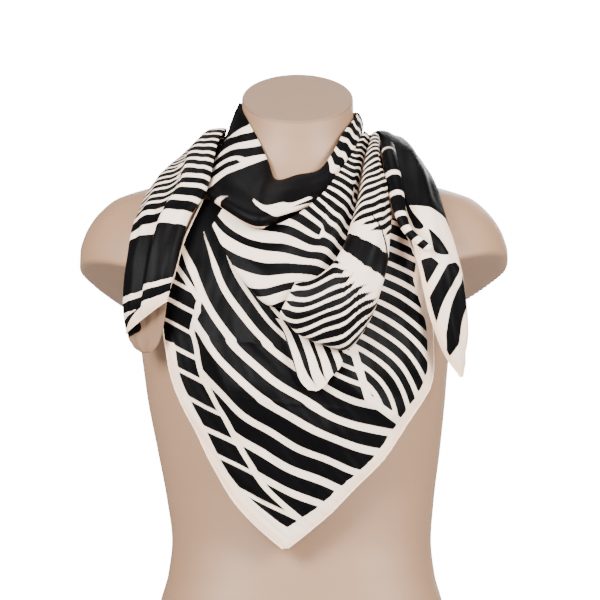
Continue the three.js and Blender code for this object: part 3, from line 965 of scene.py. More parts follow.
def piece_print(piece, straight, s, t, u, v):
    """A stretch's stripes, which turn and change width down its length and fork here and there."""
    stripes = piece["stripes"]
    line = s[:, 0]
    step = np.gradient(u.mean(axis=1))
    turn_reach = int(TURN_SMOOTH / max(step.mean(), 0.1))
    even_v = smoothed(v, int(PRINT_SMOOTH / max(step.mean(), 0.1)))
    place = straight + piece.get("level", 0) / u.max() * s**2 * v / v.mean(axis=0).max()
    for lap, past in lap_lines(piece, s, v):
        turned = 1 / (1 + np.exp(np.clip(-past / LAP_TURN, -FAR, FAR)))
        place = place + lap["shift"] / u.max() * turned
    turn = {name: smoothed(np.interp(line, stripes["s"], stripes[name]), turn_reach)
            for name in ("crossing", "along")}
    down = np.interp(place, line, np.cumsum(turn["crossing"] / 100 * step))
    phase = down + np.interp(place, line, turn["along"]) / 100 * even_v
    phase = phase + piece["sway"] * wander(u, v, SWAY_LENGTH, SWAY_LENGTH, piece["seed"] + 1)
    nearest = np.full(u.shape, 1000.0)
    for fork in each(piece["forks"]):
        rise = u - fork["s"] * u.max()
        reach = v - fork["t"] * v.mean(axis=0).max()
        phase = phase + fork["turn"] * np.arctan2(rise, reach) / TAU
        nearest = np.minimum(nearest, np.hypot(rise, reach))
    count = np.maximum(np.interp(place, line, np.hypot(turn["crossing"], turn["along"])), 1)
    phase = phase + crease_jog(piece, s, t, u, v) * count / 100
    ink = striped(phase, 100 / count, np.interp(place, stripes["s"], stripes["share"]))
    return add_darts(piece, np.minimum(ink, nearest - FORK_CLEAR), s, t, u, v)


def bib_print(piece, points, jog, v):
    """The triangle's stripes: a wide curved bundle, a column of blocks, and a finer fan, with painted shadow
    filling the upper left with black.
    """
    x = points[..., 0]
    z = points[..., 2]
    sway = wander(x, z, SWAY_LENGTH, SWAY_LENGTH, piece["seed"])
    slant = np.abs(unit(np.gradient(points[:, [0, -1]], axis=0))[..., 2])
    from_left = v * slant[:, :1]
    from_right = (v[:, -1:] - v) * slant[:, 1:]
    radius = np.hypot(x - MAIN_CENTRE[0], z - MAIN_CENTRE[1]) + jog
    wide = np.maximum(radius - MAIN_WIDE_FROM, 0) / MAIN_PITCH
    fine = np.minimum(radius - MAIN_WIDE_FROM, 0) / MAIN_FINE_PITCH
    pitch = np.where(radius > MAIN_WIDE_FROM, MAIN_PITCH, MAIN_FINE_PITCH)
    # painted shadow: the stripes fill in to solid black towards the upper left
    share = MAIN_SHARE + SHADE_BLACK_SHARE * np.clip((z - SHADE_BLACK_FROM) / SHADE_BLACK_FADE, 0, 1) * (x < 0)
    main = striped(wide + fine + piece["sway"] * sway, pitch, share)
    main = np.minimum(main, from_left - COLUMN_WIDTH - COLUMN_LINE + np.maximum(z - COLUMN_TOP, 0))
    blocks = (z + 0.5 * x) / COLUMN_PITCH + 0.5 * piece["sway"] * sway
    column = striped(blocks, COLUMN_PITCH, COLUMN_SHARE)
    beyond = np.maximum(z - COLUMN_TOP, 0)
    column = np.minimum(column, COLUMN_WIDTH - from_left - beyond)
    fan_radius = np.hypot(x - RIGHT_CENTRE[0], z - RIGHT_CENTRE[1])
    fan = striped(fan_radius / RIGHT_PITCH + piece["sway"] * sway, RIGHT_PITCH, RIGHT_SHARE)
    (x0, z0), (x1, z1) = DIVIDER
    above = ((x1 - x0) * (z - z0) - (z1 - z0) * (x - x0)) / math.hypot(x1 - x0, z1 - z0)
    right = np.minimum(above, x - RIGHT_FROM + 0.3 * (z - z0))
    fan = np.minimum(fan, right - DIVIDER_GAP)
    main = np.minimum(main, -right - DIVIDER_GAP)
    ink = np.maximum(np.maximum(main, fan), column)
    border = BORDER + TIP_BORDER * np.clip((TIP_FROM - z) / TIP_FADE, 0, 1)
    right_edge = from_right - border + np.maximum(z - RIGHT_BORDER_TOP, 0) * RIGHT_BORDER_FADE
    left_edge = from_left - border + np.maximum(z - LEFT_BORDER_TOP, 0) * LEFT_BORDER_FADE
    return np.minimum(ink, np.minimum(right_edge, left_edge))


def cloth_surface(name, spacing):
    """A stretch's middle surface as a fine grid, with its flat coordinates and its ink."""
    piece = PIECES[name]
    shape = chest_points if name == "bib" else arched_points

    def points_at(s, t):
        return shape(piece, s, t)

    s = even_steps(points_at, "s", spacing)[:, None]
    t = even_steps(points_at, "t", spacing)[None, :]
    points = points_at(s, t)
    u = running_length(points, 0)
    v = running_length(points, 1)
    s = np.broadcast_to(s, u.shape)
    t = np.broadcast_to(t, u.shape)
    straight = straightened(piece, points, s, u, v)
    normals = grid_normals(points)
    outward = 1 if (normals * from_form(points)[1]).sum() > 0 else -1
    normals = normals * outward
    points = points + normals * fold_height(piece, s, t, u, v)[..., None]
    points = keep_off(points, piece["least"] - 0.3)
    if name == "bib":
        ink = bib_print(piece, points, crease_jog(piece, s, t, u, v), v)
        edge = np.minimum(v, v[:, -1:] - v)
    else:
        ink = piece_print(piece, straight, s, t, u, v)
        edge = edge_distance(piece, u, v)
        ink = np.minimum(ink, edge - 4)
    return dict(points=points, u=u, v=v, ink=ink, edge=edge, outward=outward)


def edge_distance(piece, u, v):
    """How far each place is from the nearest true edge of the square, in millimetres."""
    far = np.full(u.shape, 1000.0)
    first, last = (share * u.max() for share in piece.get("hem_span", (0, 1)))
    beyond = np.maximum(np.maximum(first - u, u - last), 0)
    found = {"a": v + beyond, "b": v[:, -1:] - v + beyond, "end": u[-1:, :] - u}
    for edge in piece["hems"]:
        far = np.minimum(far, found[edge])
    return far


def grid_quads(rows, columns, flipped):
    i, k = np.meshgrid(np.arange(rows - 1), np.arange(columns - 1), indexing="ij")
    a = (i * columns + k).ravel()
    quads = np.stack([a, a + columns, a + columns + 1, a + 1], axis=1)
    return quads[:, ::-1] if flipped else quads


def mesh_object(name, points, quads, smooth=True):
    """A mesh object from points in millimetres and its quads or triangles."""
    mesh = bpy.data.meshes.new(name)
    mesh.from_pydata((np.asarray(points) * MM).tolist(), [], [list(map(int, q)) for q in quads])
    mesh.polygons.foreach_set("use_smooth", np.full(len(mesh.polygons), smooth))
    mesh.validate()
    mesh.update()
    made = bpy.data.objects.new(name, mesh)
    bpy.context.scene.collection.objects.link(made)
    return made


def float_attribute(made, name, values):
    attribute = made.data.attributes.new(name, "FLOAT", "POINT")
    attribute.data.foreach_set("value", np.asarray(values, np.float32).ravel())


def flat_coordinates(made, u, v):
    """The cloth's flat coordinates in metres, as its UV map."""
    layer = made.data.uv_layers.new(name="cloth")
    loops = np.zeros(len(made.data.loops), int)
    made.data.loops.foreach_get("vertex_index", loops)
    flat = np.stack([u.ravel(), v.ravel()], axis=1) * MM
    layer.data.foreach_set("uv", flat[loops].astype(np.float32).ravel())


def cloth_object(name, made, thickness):
    """Both faces of the cloth and its rim, as one closed shell."""
    points = made["points"]
    rows, columns = points.shape[:2]
    normals = grid_normals(points) * made["outward"]
    half = normals * thickness / 2
    skins = np.concatenate([(points + half).reshape(-1, 3), (points - half).reshape(-1, 3)])
    flipped = made["outward"] < 0
    face = grid_quads(rows, columns, flipped)
    back = grid_quads(rows, columns, not flipped) + rows * columns
    index = np.arange(rows * columns).reshape(rows, columns)
    around = np.concatenate([index[:, 0], index[-1, 1:], index[-2::-1, -1], index[0, -2:0:-1]])
    after = np.roll(around, -1)
    low = rows * columns
    rim = np.stack([around, after, after + low, around + low], axis=1)
    rim = rim if flipped else rim[:, ::-1]
    shell = mesh_object("silk_" + name, skins, np.concatenate([face, back, rim]))
    float_attribute(shell, "ink", np.tile(made["ink"].ravel(), 2))
    float_attribute(shell, "edge", np.tile(made["edge"].ravel(), 2))
    float_attribute(shell, "reverse", np.full(2 * rows * columns, float("reverse" in PIECES[name])))
    flat_coordinates(shell, np.tile(made["u"].ravel(), 2), np.tile(made["v"].ravel(), 2))
    return shell


def hem_object(name, paths, radius):
    """A hand-rolled hem along each path, pinched by its stitches."""
    points = []
    quads = []
    for path in paths:
        length = running_length(path[:, None, :], 0)[:, 0]
        even = np.linspace(0, length[-1], max(8, int(length[-1] / 0.9)))
        line = np.stack([np.interp(even, length, path[:, axis]) for axis in range(3)], axis=1)
        along = unit(np.gradient(line, axis=0))
        side = unit(np.cross(along, from_form(line)[1]))
        up = np.cross(side, along)
        beat = np.abs((even + 0.5 * STITCH_SPACING) % STITCH_SPACING - 0.5 * STITCH_SPACING)
        thick = radius * (1 + 0.1 * wander(even, even * 0, 9, 9, len(name)))
        thick = thick * (1 - STITCH_DEPTH * np.exp(-((beat / STITCH_WIDTH) ** 2)))
        turn = np.linspace(0, TAU, HEM_SIDES, endpoint=False)
        ring = np.cos(turn)[None, :, None] * side[:, None] + np.sin(turn)[None, :, None] * up[:, None]
        first = len(points)
        points.extend((line[:, None] + ring * thick[:, None, None]).reshape(-1, 3))
        for i in range(len(line) - 1):
            for k in range(HEM_SIDES):
                a = first + i * HEM_SIDES + k
                b = first + i * HEM_SIDES + (k + 1) % HEM_SIDES
                quads.append((a, b, b + HEM_SIDES, a + HEM_SIDES))
        quads.append(tuple(first + k for k in range(HEM_SIDES))[::-1])
        quads.append(tuple(first + (len(line) - 1) * HEM_SIDES + k for k in range(HEM_SIDES)))
    return mesh_object("hem_" + name, np.array(points), quads)


def hem_paths(piece, made):
    points = made["points"]
    first, last = (int(share * len(points)) for share in piece.get("hem_span", (0, 1)))
    found = {"a": points[first:last, 0], "b": points[first:last, -1], "end": points[-1]}
    return [found[edge] for edge in piece["hems"]]


def ring_radius(z, angle, half_width):
    """How far the form's ring reaches from its middle at each angle."""
    ring = ring_at(z)
    square = ring["square"]
    across = np.abs(np.cos(angle) / half_width) ** square
    deep = np.abs(np.sin(angle) / ring["halfDepth"]) ** square
    return (across + deep) ** (-1 / square)


def soft_least(a, b, soft):
    near = np.maximum(soft - np.abs(a - b), 0)
    return np.minimum(a, b) - near * near / (4 * soft)


def form_radius(z, angle):
    """The form's reach at each height and angle: shoulders trimmed flat below, on a trunk."""
    ring = ring_at(z)
    full = ring_radius(z, angle, ring["halfWidth"])
    trunk = ring_radius(z, angle, TRUNK_HALF_WIDTH)
    flat = np.full(np.broadcast(z, angle).shape, 1e4)
    for stump in each(STUMPS):
        nx, ny, nz = stump["side"] * STUMP_NORMAL[0], STUMP_NORMAL[1], STUMP_NORMAL[2]
        past = nx * (ring["aside"] - stump["side"] * stump["x"])
        past = past + ny * (ring["middle"] - stump["y"]) + nz * (z - stump["z"])
        toward = nx * np.cos(angle) + ny * np.sin(angle)
        reach = np.where(toward > 1e-4, -past / np.maximum(toward, 1e-4), 1e4)
        on_side = np.cos(angle) * stump["side"] > 0
        flat = np.where(on_side, np.maximum(reach, 0), flat)
    shoulder = -soft_least(-trunk, -flat, STUMP_EDGE)
    return soft_least(full, shoulder, STUMP_EDGE)


def form_points():
    """The form's skin, its sloping neck cap with a soft rim, and its flat base."""
    angle = np.linspace(0, TAU, FORM_SIDES, endpoint=False)[None, :]
    level = np.linspace(0, 1, FORM_LEVELS)[:, None]
    top = NECK_CUT_HEIGHT - RIM_EDGE
    z = np.broadcast_to(level * top, (FORM_LEVELS, FORM_SIDES)).copy()
    for _ in range(PASSES):
        ring = ring_at(z)
        reach = form_radius(z, angle)
        x = ring["aside"] + reach * np.cos(angle)
        y = ring["middle"] + reach * np.sin(angle)
        slope = math.tan(NECK_CUT_TILT) * (y - NECK_CUT_Y)
        bend = np.clip((level * top - NECK_BEND_FROM) / (top - NECK_BEND_FROM), 0, 1)
        z = level * top + slope * bend**1.2
    rings = [np.stack([x, y, z], axis=-1)]
    rim = rings[0][-1]
    centre = rim.mean(axis=0)
    normal = np.array([0, -math.sin(NECK_CUT_TILT), math.cos(NECK_CUT_TILT)])
    inward = centre - rim
    inward = inward - (inward @ normal)[:, None] * normal
    reach = np.linalg.norm(inward, axis=1, keepdims=True)
    for turn in np.linspace(0, math.pi / 2, 7)[1:]:
        rings.append((rim + inward / reach * RIM_EDGE * (1 - math.cos(turn))
                      + normal * RIM_EDGE * math.sin(turn))[None])
    edge = rings[-1][0]
    for k in range(1, CAP_RINGS):
        rings.append(mix(edge, edge.mean(axis=0), k / CAP_RINGS)[None])
    return np.concatenate(rings)


def build_form(context):
    grid = form_points()
    rows, columns = grid.shape[:2]
    index = np.arange(rows * columns).reshape(rows, columns)
    wrapped = np.concatenate([index, index[:, :1]], axis=1)
    a = wrapped[:-1, :-1].ravel()
    b = wrapped[:-1, 1:].ravel()
    c = wrapped[1:, 1:].ravel()
    d = wrapped[1:, :-1].ravel()
    quads = np.stack([a, b, c, d], axis=1).tolist()
    points = grid.reshape(-1, 3)
    base = grid[0].mean(axis=0)
    cap = grid[-1].mean(axis=0)
    points = np.concatenate([points, [base, cap]])
    first, last = rows * columns, rows * columns + 1
    for k in range(columns):
        after = (k + 1) % columns
        quads.append([first, after, k])
        quads.append([last, index[-1, k], index[-1, after]])
    made = mesh_object("torso_form", points, quads)
    # marks the neck cap's rings and centre, which the material darkens with painted shade
    on_cap = np.zeros(len(points))
    on_cap[FORM_LEVELS * columns:rows * columns] = 1
    on_cap[last] = 1
    float_attribute(made, "cap", on_cap)
    made.data.materials.append(form_material(context))
    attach(made, "root")
    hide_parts("form")
    return made


def build_cloth(context, name):
    """One stretch of the scarf with its hem."""
    piece = PIECES[name]
    sizes = context.scene.scarf_sizes
    made = cloth_surface(name, sizes.spacing / MM)
    shell = cloth_object(name, made, sizes.cloth / MM)
    shell.data.materials.append(silk_material(context))
    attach(shell, "root")
    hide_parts(name)
    if piece["hems"]:
        hem = hem_object(name, hem_paths(piece, made), sizes.hem / MM / 2)
        hem.data.materials.append(hem_material(context))
        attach(hem, "root")


def opaque(colour):
    return (*colour, 1.0)


def new_group(name, inputs, outputs):
    """An empty shader node group with named sockets, and its two end nodes."""
    group = bpy.data.node_groups.new(name, "ShaderNodeTree")
    for label, kind, value in inputs:
        socket = group.interface.new_socket(name=label, in_out="INPUT", socket_type=kind)
        if value is not None:
            socket.default_value = value
    for label, kind in outputs:
        group.interface.new_socket(name=label, in_out="OUTPUT", socket_type=kind)
    return group, group.nodes.new("NodeGroupInput"), group.nodes.new("NodeGroupOutput")


def node(tree, kind, **values):
    """A node with its settings and its sockets' values."""
    made = tree.nodes.new(kind)
    for key, value in values.items():
        if key in made.inputs:
            made.inputs[key].default_value = value
        else:
            setattr(made, key, value)
    return made


def arithmetic(tree, operation, first, second=None):
    made = tree.nodes.new("ShaderNodeMath")
    made.operation = operation
    for k, value in enumerate([first, second]):
        if value is None:
            continue
        if isinstance(value, (int, float)):
            made.inputs[k].default_value = value
        else:
            tree.links.new(value, made.inputs[k])
    return made.outputs[0]


def satin_group():
    """The silk's fine weave and slubs, as a height, and its uneven tone."""
    found = bpy.data.node_groups.get("Satin weave")
    if found:
        return found
    group, start, end = new_group("Satin weave", [
        ("Flat", "NodeSocketVector", None),
        ("Thread", "NodeSocketFloat", 0.35),
        ("Slub", "NodeSocketFloat", 0.4),
    ], [("Height", "NodeSocketFloat"), ("Tone", "NodeSocketFloat")])
    links = group.links
    apart = group.nodes.new("ShaderNodeSeparateXYZ")
    links.new(start.outputs["Flat"], apart.inputs[0])
    turns = arithmetic(group, "DIVIDE", TAU * 1000, start.outputs["Thread"])
    warp = arithmetic(group, "SINE", arithmetic(group, "MULTIPLY", apart.outputs[1], turns))
    aslant = arithmetic(group, "MULTIPLY", apart.outputs[1], 0.5)
    diagonal = arithmetic(group, "ADD", apart.outputs[0], aslant)
    weft = arithmetic(group, "SINE", arithmetic(group, "MULTIPLY", diagonal, turns))
    woven = arithmetic(group, "ADD", warp, arithmetic(group, "MULTIPLY", weft, 0.5))
    slub = node(group, "ShaderNodeTexNoise", Scale=140, Detail=3)
    drawn = node(group, "ShaderNodeMapping")
    drawn.inputs["Scale"].default_value = (0.25, 1.6, 1)
    links.new(start.outputs["Flat"], drawn.inputs["Vector"])
    links.new(drawn.outputs["Vector"], slub.inputs["Vector"])
    uneven = arithmetic(group, "MULTIPLY", slub.outputs["Fac"], start.outputs["Slub"])
    links.new(arithmetic(group, "ADD", woven, uneven), end.inputs["Height"])
    cloudy = node(group, "ShaderNodeTexNoise", Scale=16, Detail=4)
    links.new(start.outputs["Flat"], cloudy.inputs["Vector"])
    links.new(cloudy.outputs["Fac"], end.inputs["Tone"])
    return group


def ink_group():
    """Where the printed black lies, with an edge that bleeds a little into the threads."""
    found = bpy.data.node_groups.get("Printed ink")
    if found:
        return found
    group, start, end = new_group("Printed ink", [
        ("Ink", "NodeSocketFloat", 0.0),
        ("Flat", "NodeSocketVector", None),
        ("Bleed", "NodeSocketFloat", 0.3),
    ], [("Black", "NodeSocketFloat")])
    threads = node(group, "ShaderNodeTexNoise", Scale=900, Detail=2)
    group.links.new(start.outputs["Flat"], threads.inputs["Vector"])
    ragged = arithmetic(group, "MULTIPLY", arithmetic(group, "SUBTRACT", threads.outputs["Fac"], 0.5), 0.5)
    depth = arithmetic(group, "ADD", start.outputs["Ink"], ragged)
    edge = arithmetic(group, "ADD", arithmetic(group, "DIVIDE", depth, start.outputs["Bleed"]), 0.5)
    edge.node.use_clamp = True
    group.links.new(edge, end.inputs["Black"])
    return group


def new_material(name):
    """A named material with its shader, and whether it was already made."""
    found = bpy.data.materials.get(name)
    if found:
        return found, None
    made = bpy.data.materials.new(name)
    made.use_nodes = True
    return made, made.node_tree.nodes["Principled BSDF"]


def attribute(tree, name):
    return node(tree, "ShaderNodeAttribute", attribute_type="GEOMETRY", attribute_name=name)


def blend_colours(tree, factor, first, second):
    made = node(tree, "ShaderNodeMix", data_type="RGBA")
    tree.links.new(factor, made.inputs["Factor"])
    for socket, value in ((made.inputs[6], first), (made.inputs[7], second)):
        if isinstance(value, bpy.types.NodeSocket):
            tree.links.new(value, socket)
        else:
            socket.default_value = value
    return made.outputs[2]


def remap(tree, value, low, high):
    made = node(tree, "ShaderNodeMapRange")
    tree.links.new(value, made.inputs["Value"])
    made.inputs["To Min"].default_value = low
    made.inputs["To Max"].default_value = high
    return made.outputs["Result"]


def bump(tree, height, shader, strength, distance):
    made = node(tree, "ShaderNodeBump", Strength=strength, Distance=distance)
    tree.links.new(height, made.inputs["Height"])
    tree.links.new(made.outputs["Normal"], shader.inputs["Normal"])


def weave_node(tree, flat, thread, slub):
    made = node(tree, "ShaderNodeGroup", node_tree=satin_group())
    made.inputs["Thread"].default_value = thread
    made.inputs["Slub"].default_value = slub
    tree.links.new(flat, made.inputs["Flat"])
    return made


def silk_material(context):
    """Satin silk printed in black on cream, warmer along the scarf's border, with painted sheen on the black
    and painted shade darkening the silk's back face.
    """
    material, shader = new_material("Printed silk satin")
    if shader is None:
        return material
    colours = context.scene.scarf_colours
    tree = material.node_tree
    flat = node(tree, "ShaderNodeUVMap", uv_map="cloth").outputs["UV"]
    weave = weave_node(tree, flat, 0.35, 0.5)
    ink = node(tree, "ShaderNodeGroup", node_tree=ink_group())
    tree.links.new(attribute(tree, "ink").outputs["Fac"], ink.inputs["Ink"])
    tree.links.new(flat, ink.inputs["Flat"])
    ink.inputs["Bleed"].default_value = 0.5
    edge = attribute(tree, "edge").outputs["Fac"]
    warm = arithmetic(tree, "SUBTRACT", 1.0, arithmetic(tree, "DIVIDE", edge, 16))
    warm.node.use_clamp = True
    face = blend_colours(tree, warm, opaque(colours.cream), opaque(colours.border))
    shaded = blend_colours(tree, remap(tree, weave.outputs["Tone"], 0.0, 0.5), face, opaque(colours.border))
    # painted shade: the under layer shows the silk's warmer back face, darkened well below the cream to stand
    # for the shade it lies in
    turned = attribute(tree, "reverse").outputs["Fac"]
    pale = blend_colours(tree, turned, shaded, opaque(colours.reverse))
    # painted sheen: the black turns to the lighter black_sheen in the weave's cloudy patches
    black = blend_colours(tree, weave.outputs["Tone"], opaque(colours.black), opaque(colours.black_sheen))
    tree.links.new(blend_colours(tree, ink.outputs["Black"], pale, black), shader.inputs["Base Color"])
    tree.links.new(remap(tree, weave.outputs["Tone"], 0.36, 0.5), shader.inputs["Roughness"])
    shader.inputs["Specular IOR Level"].default_value = 0.04
    shader.inputs["Anisotropic"].default_value = 0.4
    seam = arithmetic(tree, "ABSOLUTE", arithmetic(tree, "SUBTRACT", edge, 3.2))
    line = arithmetic(tree, "SUBTRACT", 1.0, arithmetic(tree, "DIVIDE", seam, 0.8))
    line.node.use_clamp = True
    pressed = arithmetic(tree, "SUBTRACT", weave.outputs["Height"], arithmetic(tree, "MULTIPLY", line, 3.0))
    bump(tree, pressed, shader, 0.15, 0.0001)
    return material


def hem_material(context):
    """The rolled hem's pale silk, with the thread's fine ribs."""
    material, shader = new_material("Rolled silk hem")
    if shader is None:
        return material
    tree = material.node_tree
    colours = context.scene.scarf_colours
    place = node(tree, "ShaderNodeTexCoord").outputs["Object"]
    weave = weave_node(tree, place, 0.7, 1.0)
    tone = blend_colours(tree, weave.outputs["Tone"], opaque(colours.border), opaque(colours.cream))
    tree.links.new(tone, shader.inputs["Base Color"])
    tree.links.new(remap(tree, weave.outputs["Tone"], 0.5, 0.65), shader.inputs["Roughness"])
    shader.inputs["Specular IOR Level"].default_value = 0.25
    bump(tree, weave.outputs["Height"], shader, 0.2, 0.0002)
    return material


def form_material(context):
    """Smooth moulded plastic with a faint mottle and the finest grain, and painted shade darkening the neck
    cap.
    """
    material, shader = new_material("Matt moulded plastic")
    if shader is None:
        return material
    tree = material.node_tree
    colours = context.scene.scarf_colours
    place = node(tree, "ShaderNodeTexCoord").outputs["Object"]
    mottle = node(tree, "ShaderNodeTexNoise", Scale=7, Detail=4)
    grain = node(tree, "ShaderNodeTexNoise", Scale=900, Detail=2)
    tree.links.new(place, mottle.inputs["Vector"])
    tree.links.new(place, grain.inputs["Vector"])
    tone = blend_colours(tree, mottle.outputs["Fac"], opaque(colours.form), opaque(colours.form_shade))
    # painted shade: the neck cap gets a darker colour, standing for the dimmer light on its tilted top
    cap = attribute(tree, "cap").outputs["Fac"]
    cap_shaded = blend_colours(tree, cap, tone, opaque(colours.form_cap_shade))
    tree.links.new(cap_shaded, shader.inputs["Base Color"])
    tree.links.new(remap(tree, mottle.outputs["Fac"], 0.5, 0.62), shader.inputs["Roughness"])
    bump(tree, grain.outputs["Fac"], shader, 0.08, 0.0002)
    return material


def floor_material():
    material, shader = new_material("Pale studio floor")
    if shader is None:
        return material
    tree = material.node_tree
    place = node(tree, "ShaderNodeTexCoord").outputs["Object"]
    mottle = node(tree, "ShaderNodeTexNoise", Scale=3, Detail=3)
    tree.links.new(place, mottle.inputs["Vector"])
    tone = blend_colours(tree, mottle.outputs["Fac"], (0.3, 0.3, 0.3, 1), (0.33, 0.33, 0.33, 1))
    tree.links.new(tone, shader.inputs["Base Color"])
    shader.inputs["Roughness"].default_value = 0.8
    return material


def aimed(made, place, target):
    """Puts an object at a place, in metres, and turns it to a target."""
    made.location = Vector(place)
    made.rotation_euler = (Vector(target) - Vector(place)).to_track_quat("-Z", "Y").to_euler()
    bpy.context.scene.collection.objects.link(made)
    return made


def area_light(name, place, target, size, power):
    light = bpy.data.lights.new(name, "AREA")
    light.shape = "SQUARE"
    light.size = size
    light.energy = power
    return aimed(bpy.data.objects.new(name, light), place, target)


def build_stage(context):
    """The camera, the soft studio light and the pale floor."""
    settings = context.scene.scarf_stage
    target = (AIM_X * MM, 0, AIM_Z * MM)
    camera = bpy.data.cameras.new("photo_camera")
    camera.sensor_width = SENSOR
    camera.lens = SENSOR * CAMERA_DISTANCE / (PHOTO_PIXELS * PIXEL)
    place = (AIM_X * MM, -CAMERA_DISTANCE * MM, AIM_Z * MM)
    context.scene.camera = aimed(bpy.data.objects.new("photo_camera", camera), place, target)
    area_light("key_light", (-1.5, -2.1, 1.45), target, 1.1, settings.key_power)
    area_light("fill_light", (1.8, -1.9, 1.35), target, 1.2, settings.fill_power)
    area_light("top_light", (0.0, 0.3, 2.6), target, 1.4, settings.top_power)
    area_light("back_light", (0.4, 2.8, 1.2), target, 1.8, settings.back_power)
    sides = 96
    turn = np.linspace(0, TAU, sides, endpoint=False)
    radius = settings.floor_radius / MM
    rim = np.stack([radius * np.cos(turn), radius * np.sin(turn), turn * 0 - 0.5], axis=1)
    floor = mesh_object("studio_floor", rim, [list(range(sides))], smooth=False)
    floor.data.materials.append(floor_material())
    world = bpy.data.worlds.new("studio")
    world.use_nodes = True
    tree = world.node_tree
    room = tree.nodes["Background"]
    room.inputs["Color"].default_value = (1, 1, 1, 1)
    apart = tree.nodes.new("ShaderNodeSeparateXYZ")
    tree.links.new(node(tree, "ShaderNodeTexCoord").outputs["Generated"], apart.inputs[0])
    sideways = arithmetic(tree, "MULTIPLY", apart.outputs[0], apart.outputs[0])
    around = arithmetic(tree, "MULTIPLY_ADD", sideways, ROOM_SIDES)
    around.node.inputs[2].default_value = ROOM_FRONT
    above = arithmetic(tree, "MULTIPLY", arithmetic(tree, "MAXIMUM", apart.outputs[2], 0.0), ROOM_ABOVE)
    dimmed = arithmetic(tree, "SUBTRACT", settings.room, above)
    tree.links.new(arithmetic(tree, "MULTIPLY", around, dimmed), room.inputs["Strength"])
    backdrop = node(tree, "ShaderNodeBackground", Strength=settings.backdrop)
    backdrop.inputs["Color"].default_value = (1, 1, 1, 1)
    seen = node(tree, "ShaderNodeMixShader")
    tree.links.new(node(tree, "ShaderNodeLightPath").outputs["Is Camera Ray"], seen.inputs["Fac"])
    tree.links.new(room.outputs[0], seen.inputs[1])
    tree.links.new(backdrop.outputs[0], seen.inputs[2])
    tree.links.new(seen.outputs[0], tree.nodes["World Output"].inputs["Surface"])
    context.scene.world = world


class ScarfSizes(bpy.types.PropertyGroup):
    cloth: FloatProperty(name="Cloth", description="Thickness of the silk", default=0.6 * MM,
                         min=0.1 * MM, max=2 * MM, precision=5, unit="LENGTH")
    hem: FloatProperty(name="Hem", description="Thickness of the rolled hem", default=2.0 * MM,
                       min=0.5 * MM, max=5 * MM, precision=5, unit="LENGTH")
    spacing: FloatProperty(name="Spacing", description="Distance between the cloth's points",
                           default=1.7 * MM, min=0.5 * MM, max=10 * MM, precision=5, unit="LENGTH")


class ScarfColours(bpy.types.PropertyGroup):
    black: FloatVectorProperty(name="Black", description="Printed black", subtype="COLOR",
                               default=(0.0009, 0.0007, 0.0009), min=0, max=1)
    # painted sheen: a lighter black mixed into the black in cloudy patches, standing for the satin's sheen
    black_sheen: FloatVectorProperty(name="Worn black", description="Black where the ink is thinner",
                                     subtype="COLOR", default=(0.0018, 0.0015, 0.0018), min=0, max=1)
    cream: FloatVectorProperty(name="Cream", description="The silk's own cream", subtype="COLOR",
                               default=(0.76, 0.64, 0.545), min=0, max=1)
    border: FloatVectorProperty(name="Border", description="The warmer border", subtype="COLOR",
                                default=(0.78, 0.52, 0.34), min=0, max=1)
    # painted shade: the silk's warmer back face, darkened well below the cream to stand for the shade on the
    # under layer
    reverse: FloatVectorProperty(name="Reverse", description="The silk's duller reverse side",
                                 subtype="COLOR", default=(0.17, 0.1, 0.062), min=0, max=1)
    form: FloatVectorProperty(name="Form", description="The display form's plastic", subtype="COLOR",
                              default=(0.255, 0.145, 0.08), min=0, max=1)
    form_shade: FloatVectorProperty(name="Form mottle", description="The plastic's deeper mottle",
                                    subtype="COLOR", default=(0.235, 0.13, 0.07), min=0, max=1)
    # painted shade: a darker plastic for the neck cap, standing for the dimmer light on its tilted top
    form_cap_shade: FloatVectorProperty(name="Neck cap", description="The duller cap on the neck",
                                  subtype="COLOR", default=(0.17, 0.1, 0.06), min=0, max=1)


class ScarfStage(bpy.types.PropertyGroup):
    key_power: FloatProperty(name="Key", description="Power of the main light", default=225,
                             min=0, unit="POWER")
    fill_power: FloatProperty(name="Fill", description="Power of the fill light", default=205,
                              min=0, unit="POWER")
    top_power: FloatProperty(name="Top", description="Power of the light above", default=34,
                             min=0, unit="POWER")
    back_power: FloatProperty(name="Back", description="Power of the light behind", default=150,
                              min=0, unit="POWER")
    room: FloatProperty(name="Room", description="Brightness of the light from all round",
                        default=0.75, min=0, max=10)
    backdrop: FloatProperty(name="Backdrop", description="Brightness of the white backdrop",
                            default=16.0, min=0, max=50)
    floor_radius: FloatProperty(name="Floor", description="Radius of the round floor", default=2.6,
                                min=0.5, max=8, unit="LENGTH")


class SCARF_OT_form(bpy.types.Operator):
    """Build the display form"""
    bl_idname = "scarf.form"
    bl_label = "Display Form"

    def execute(self, context):
        build_form(context)
        return {"FINISHED"}


class SCARF_OT_bib(bpy.types.Operator):
    """Build the hanging triangle"""
    bl_idname = "scarf.bib"
    bl_label = "Hanging Triangle"

    def execute(self, context):
        build_cloth(context, "bib")
        return {"FINISHED"}


class SCARF_OT_cowls(bpy.types.Operator):
    """Build the cowls and the pouch below them"""
    bl_idname = "scarf.cowls"
    bl_label = "Cowls and Pouch"

    def execute(self, context):
        for name in ("cowl_pouch", "cowl_low", "cowl_high"):
            build_cloth(context, name)
        return {"FINISHED"}


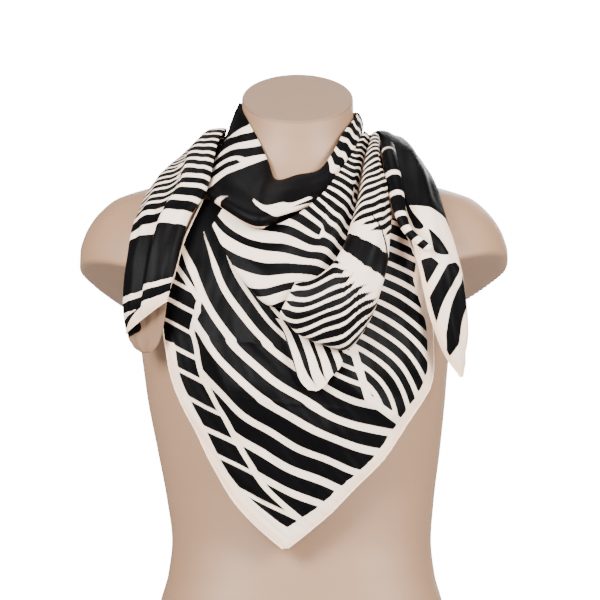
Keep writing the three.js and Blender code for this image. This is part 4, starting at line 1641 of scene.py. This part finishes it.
class SCARF_OT_neck(bpy.types.Operator):
    """Build the collar and the stretches that cross at the nape"""
    bl_idname = "scarf.neck"
    bl_label = "Collar and Nape"

    def execute(self, context):
        for name in ("collar", "nape_over", "nape_under"):
            build_cloth(context, name)
        return {"FINISHED"}


class SCARF_OT_tails(bpy.types.Operator):
    """Build the tails over both shoulders"""
    bl_idname = "scarf.tails"
    bl_label = "Tails"

    def execute(self, context):
        for name in ("tail_left", "tail_left_under", "tail_right", "tail_right_roll"):
            build_cloth(context, name)
        return {"FINISHED"}


class SCARF_OT_stage(bpy.types.Operator):
    """Build the camera, the lights and the floor"""
    bl_idname = "scarf.stage"
    bl_label = "Stage"

    def execute(self, context):
        build_stage(context)
        return {"FINISHED"}


OPERATORS = (SCARF_OT_stage, SCARF_OT_form, SCARF_OT_bib, SCARF_OT_cowls, SCARF_OT_neck, SCARF_OT_tails)


class SCARF_PT_panel(bpy.types.Panel):
    bl_idname = "SCARF_PT_panel"
    bl_label = "Silk Scarf"
    bl_space_type = "VIEW_3D"
    bl_region_type = "UI"
    bl_category = "Scarf"

    def draw(self, context):
        scene = context.scene
        for settings in (scene.scarf_sizes, scene.scarf_colours, scene.scarf_stage):
            box = self.layout.box()
            for name in settings.__annotations__:
                box.prop(settings, name)
        for operator in OPERATORS:
            self.layout.operator(operator.bl_idname)


GROUPS = {"scarf_sizes": ScarfSizes, "scarf_colours": ScarfColours, "scarf_stage": ScarfStage}


def register():
    for made in (*GROUPS.values(), *OPERATORS, SCARF_PT_panel):
        bpy.utils.register_class(made)
    for name, group in GROUPS.items():
        setattr(bpy.types.Scene, name, PointerProperty(type=group))


def unregister():
    for name in GROUPS:
        delattr(bpy.types.Scene, name)
    for made in reversed((*GROUPS.values(), *OPERATORS, SCARF_PT_panel)):
        bpy.utils.unregister_class(made)


def main():
    """Builds everything."""
    register()
    bpy.ops.scarf.stage()
    bpy.ops.scarf.form()
    bpy.ops.scarf.bib()
    bpy.ops.scarf.cowls()
    bpy.ops.scarf.neck()
    bpy.ops.scarf.tails()
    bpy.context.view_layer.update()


if __name__ == "__main__":
    main()
